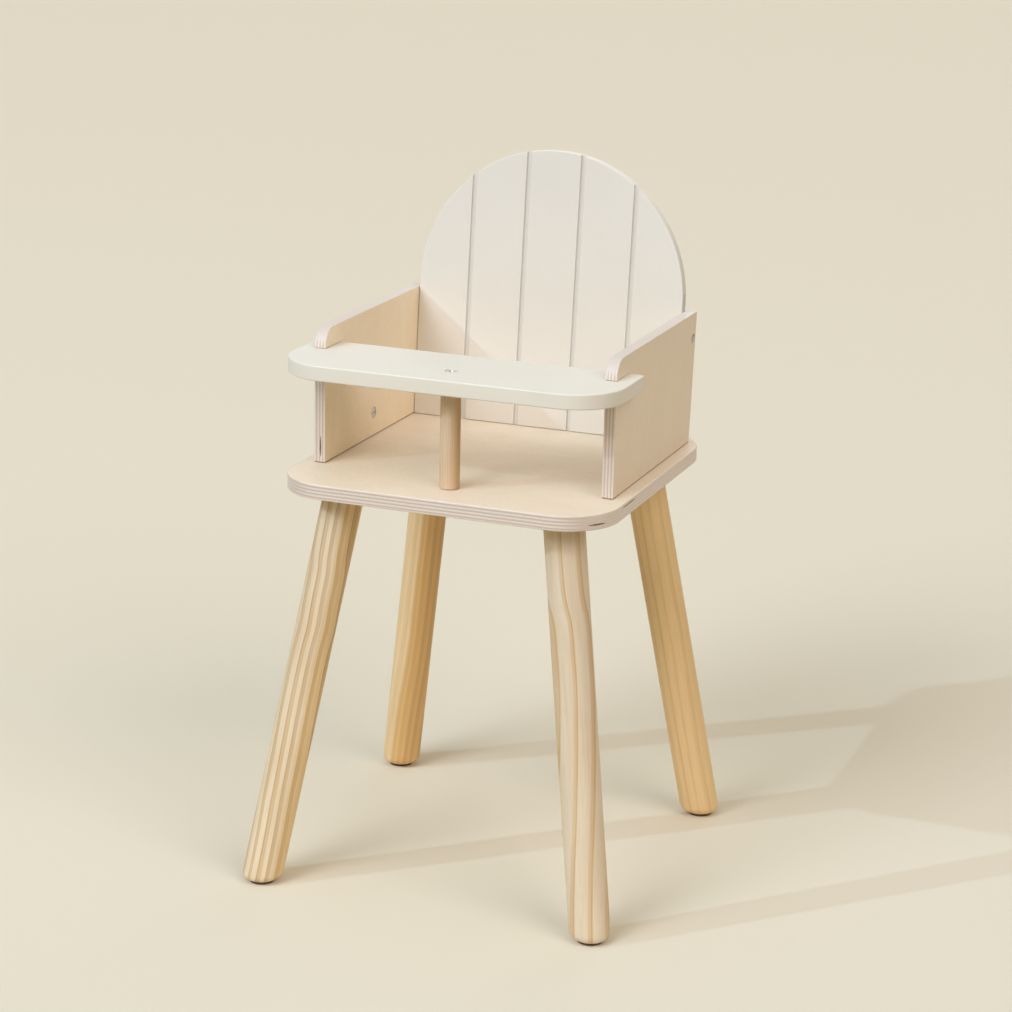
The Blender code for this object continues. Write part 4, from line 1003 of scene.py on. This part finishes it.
for name, (azimuth, elevation, size, strength, color) in LAMPS.items():
    lamp_data = bpy.data.lights.new(name, "SUN")
    lamp_data.energy = strength
    lamp_data.color = color
    lamp_data.angle = math.radians(size)
    lamp = bpy.data.objects.new(name, lamp_data)
    turn, rise = math.radians(azimuth), math.radians(elevation)
    place = Vector((math.sin(turn) * math.cos(rise), -math.cos(turn) * math.cos(rise), math.sin(rise)))
    lamp.rotation_euler = place.to_track_quat("Z", "Y").to_euler()
    bpy.context.scene.collection.objects.link(lamp)

lamp_data = bpy.data.lights.new("hard_lamp", "POINT")
lamp_data.energy = HARD_LAMP_POWER
lamp_data.color = HARD_LAMP_COLOR
lamp_data.shadow_soft_size = HARD_LAMP_RADIUS
lamp_data.use_nodes = True
tree = lamp_data.node_tree
even = add_node(tree, "ShaderNodeLightFalloff", {"Strength": 1.0}).outputs["Constant"]
tree.links.new(even, tree.nodes["Emission"].inputs["Strength"])
lamp = bpy.data.objects.new("hard_lamp", lamp_data)
lamp.location = HARD_LAMP_PLACE
bpy.context.scene.collection.objects.link(lamp)

world = bpy.data.worlds.new("studio")
bpy.context.scene.world = world
world.use_nodes = True
tree = world.node_tree
tree.nodes.clear()
path = add_node(tree, "ShaderNodeLightPath").outputs
seen = compute(tree, "MAXIMUM", path["Is Camera Ray"], path["Is Glossy Ray"])
seen = compute(tree, "MAXIMUM", seen, path["Is Transmission Ray"])
direction = add_node(tree, "ShaderNodeTexCoord").outputs["Generated"]
rise = add_node(tree, "ShaderNodeSeparateXYZ", {0: direction}).outputs["Z"]
level = ease(tree, rise, 0.05, 0.5, 0.0, STUDIO_FILL_STRENGTH)
fill = add_node(tree, "ShaderNodeBackground", {"Color": STUDIO_FILL, "Strength": level})
shown = add_node(tree, "ShaderNodeBackground", {"Color": STUDIO_SHOWN, "Strength": 1.0})
mixed = add_node(tree, "ShaderNodeMixShader", {0: seen, 1: fill.outputs[0], 2: shown.outputs[0]})
add_node(tree, "ShaderNodeOutputWorld", {"Surface": mixed.outputs[0]})


# Camera
# It stands to the right of the chair's front and a little above it, some 2.2 m away, with a long
# lens. It is turned slightly round its own axis, as the picture is.

CAMERA_AZIMUTH = math.radians(20.90)
CAMERA_ELEVATION = math.radians(16.19)
CAMERA_ROLL = math.radians(1.34)
CAMERA_DISTANCE = 2.20302
CAMERA_TARGET = Vector((0.00859, 0.0, 0.29089))
CAMERA_LENS = 99.07

lens = bpy.data.cameras.new("camera")
lens.lens = CAMERA_LENS
lens.sensor_width = 36.0
lens.clip_start = 0.05
camera = bpy.data.objects.new("camera", lens)
backwards = Vector((math.sin(CAMERA_AZIMUTH) * math.cos(CAMERA_ELEVATION),
                    -math.cos(CAMERA_AZIMUTH) * math.cos(CAMERA_ELEVATION),
                    math.sin(CAMERA_ELEVATION)))
rightwards = Vector((math.cos(CAMERA_AZIMUTH), math.sin(CAMERA_AZIMUTH), 0))
upwards = backwards.cross(rightwards)
side = rightwards * math.cos(CAMERA_ROLL) + upwards * math.sin(CAMERA_ROLL)
top = upwards * math.cos(CAMERA_ROLL) - rightwards * math.sin(CAMERA_ROLL)
frame_axes = Matrix((side, top, backwards)).transposed().to_4x4()
camera.matrix_world = Matrix.Translation(CAMERA_TARGET + backwards * CAMERA_DISTANCE) @ frame_axes
bpy.context.scene.collection.objects.link(camera)
bpy.context.scene.camera = camera
bpy.context.scene.view_settings.view_transform = "Standard"
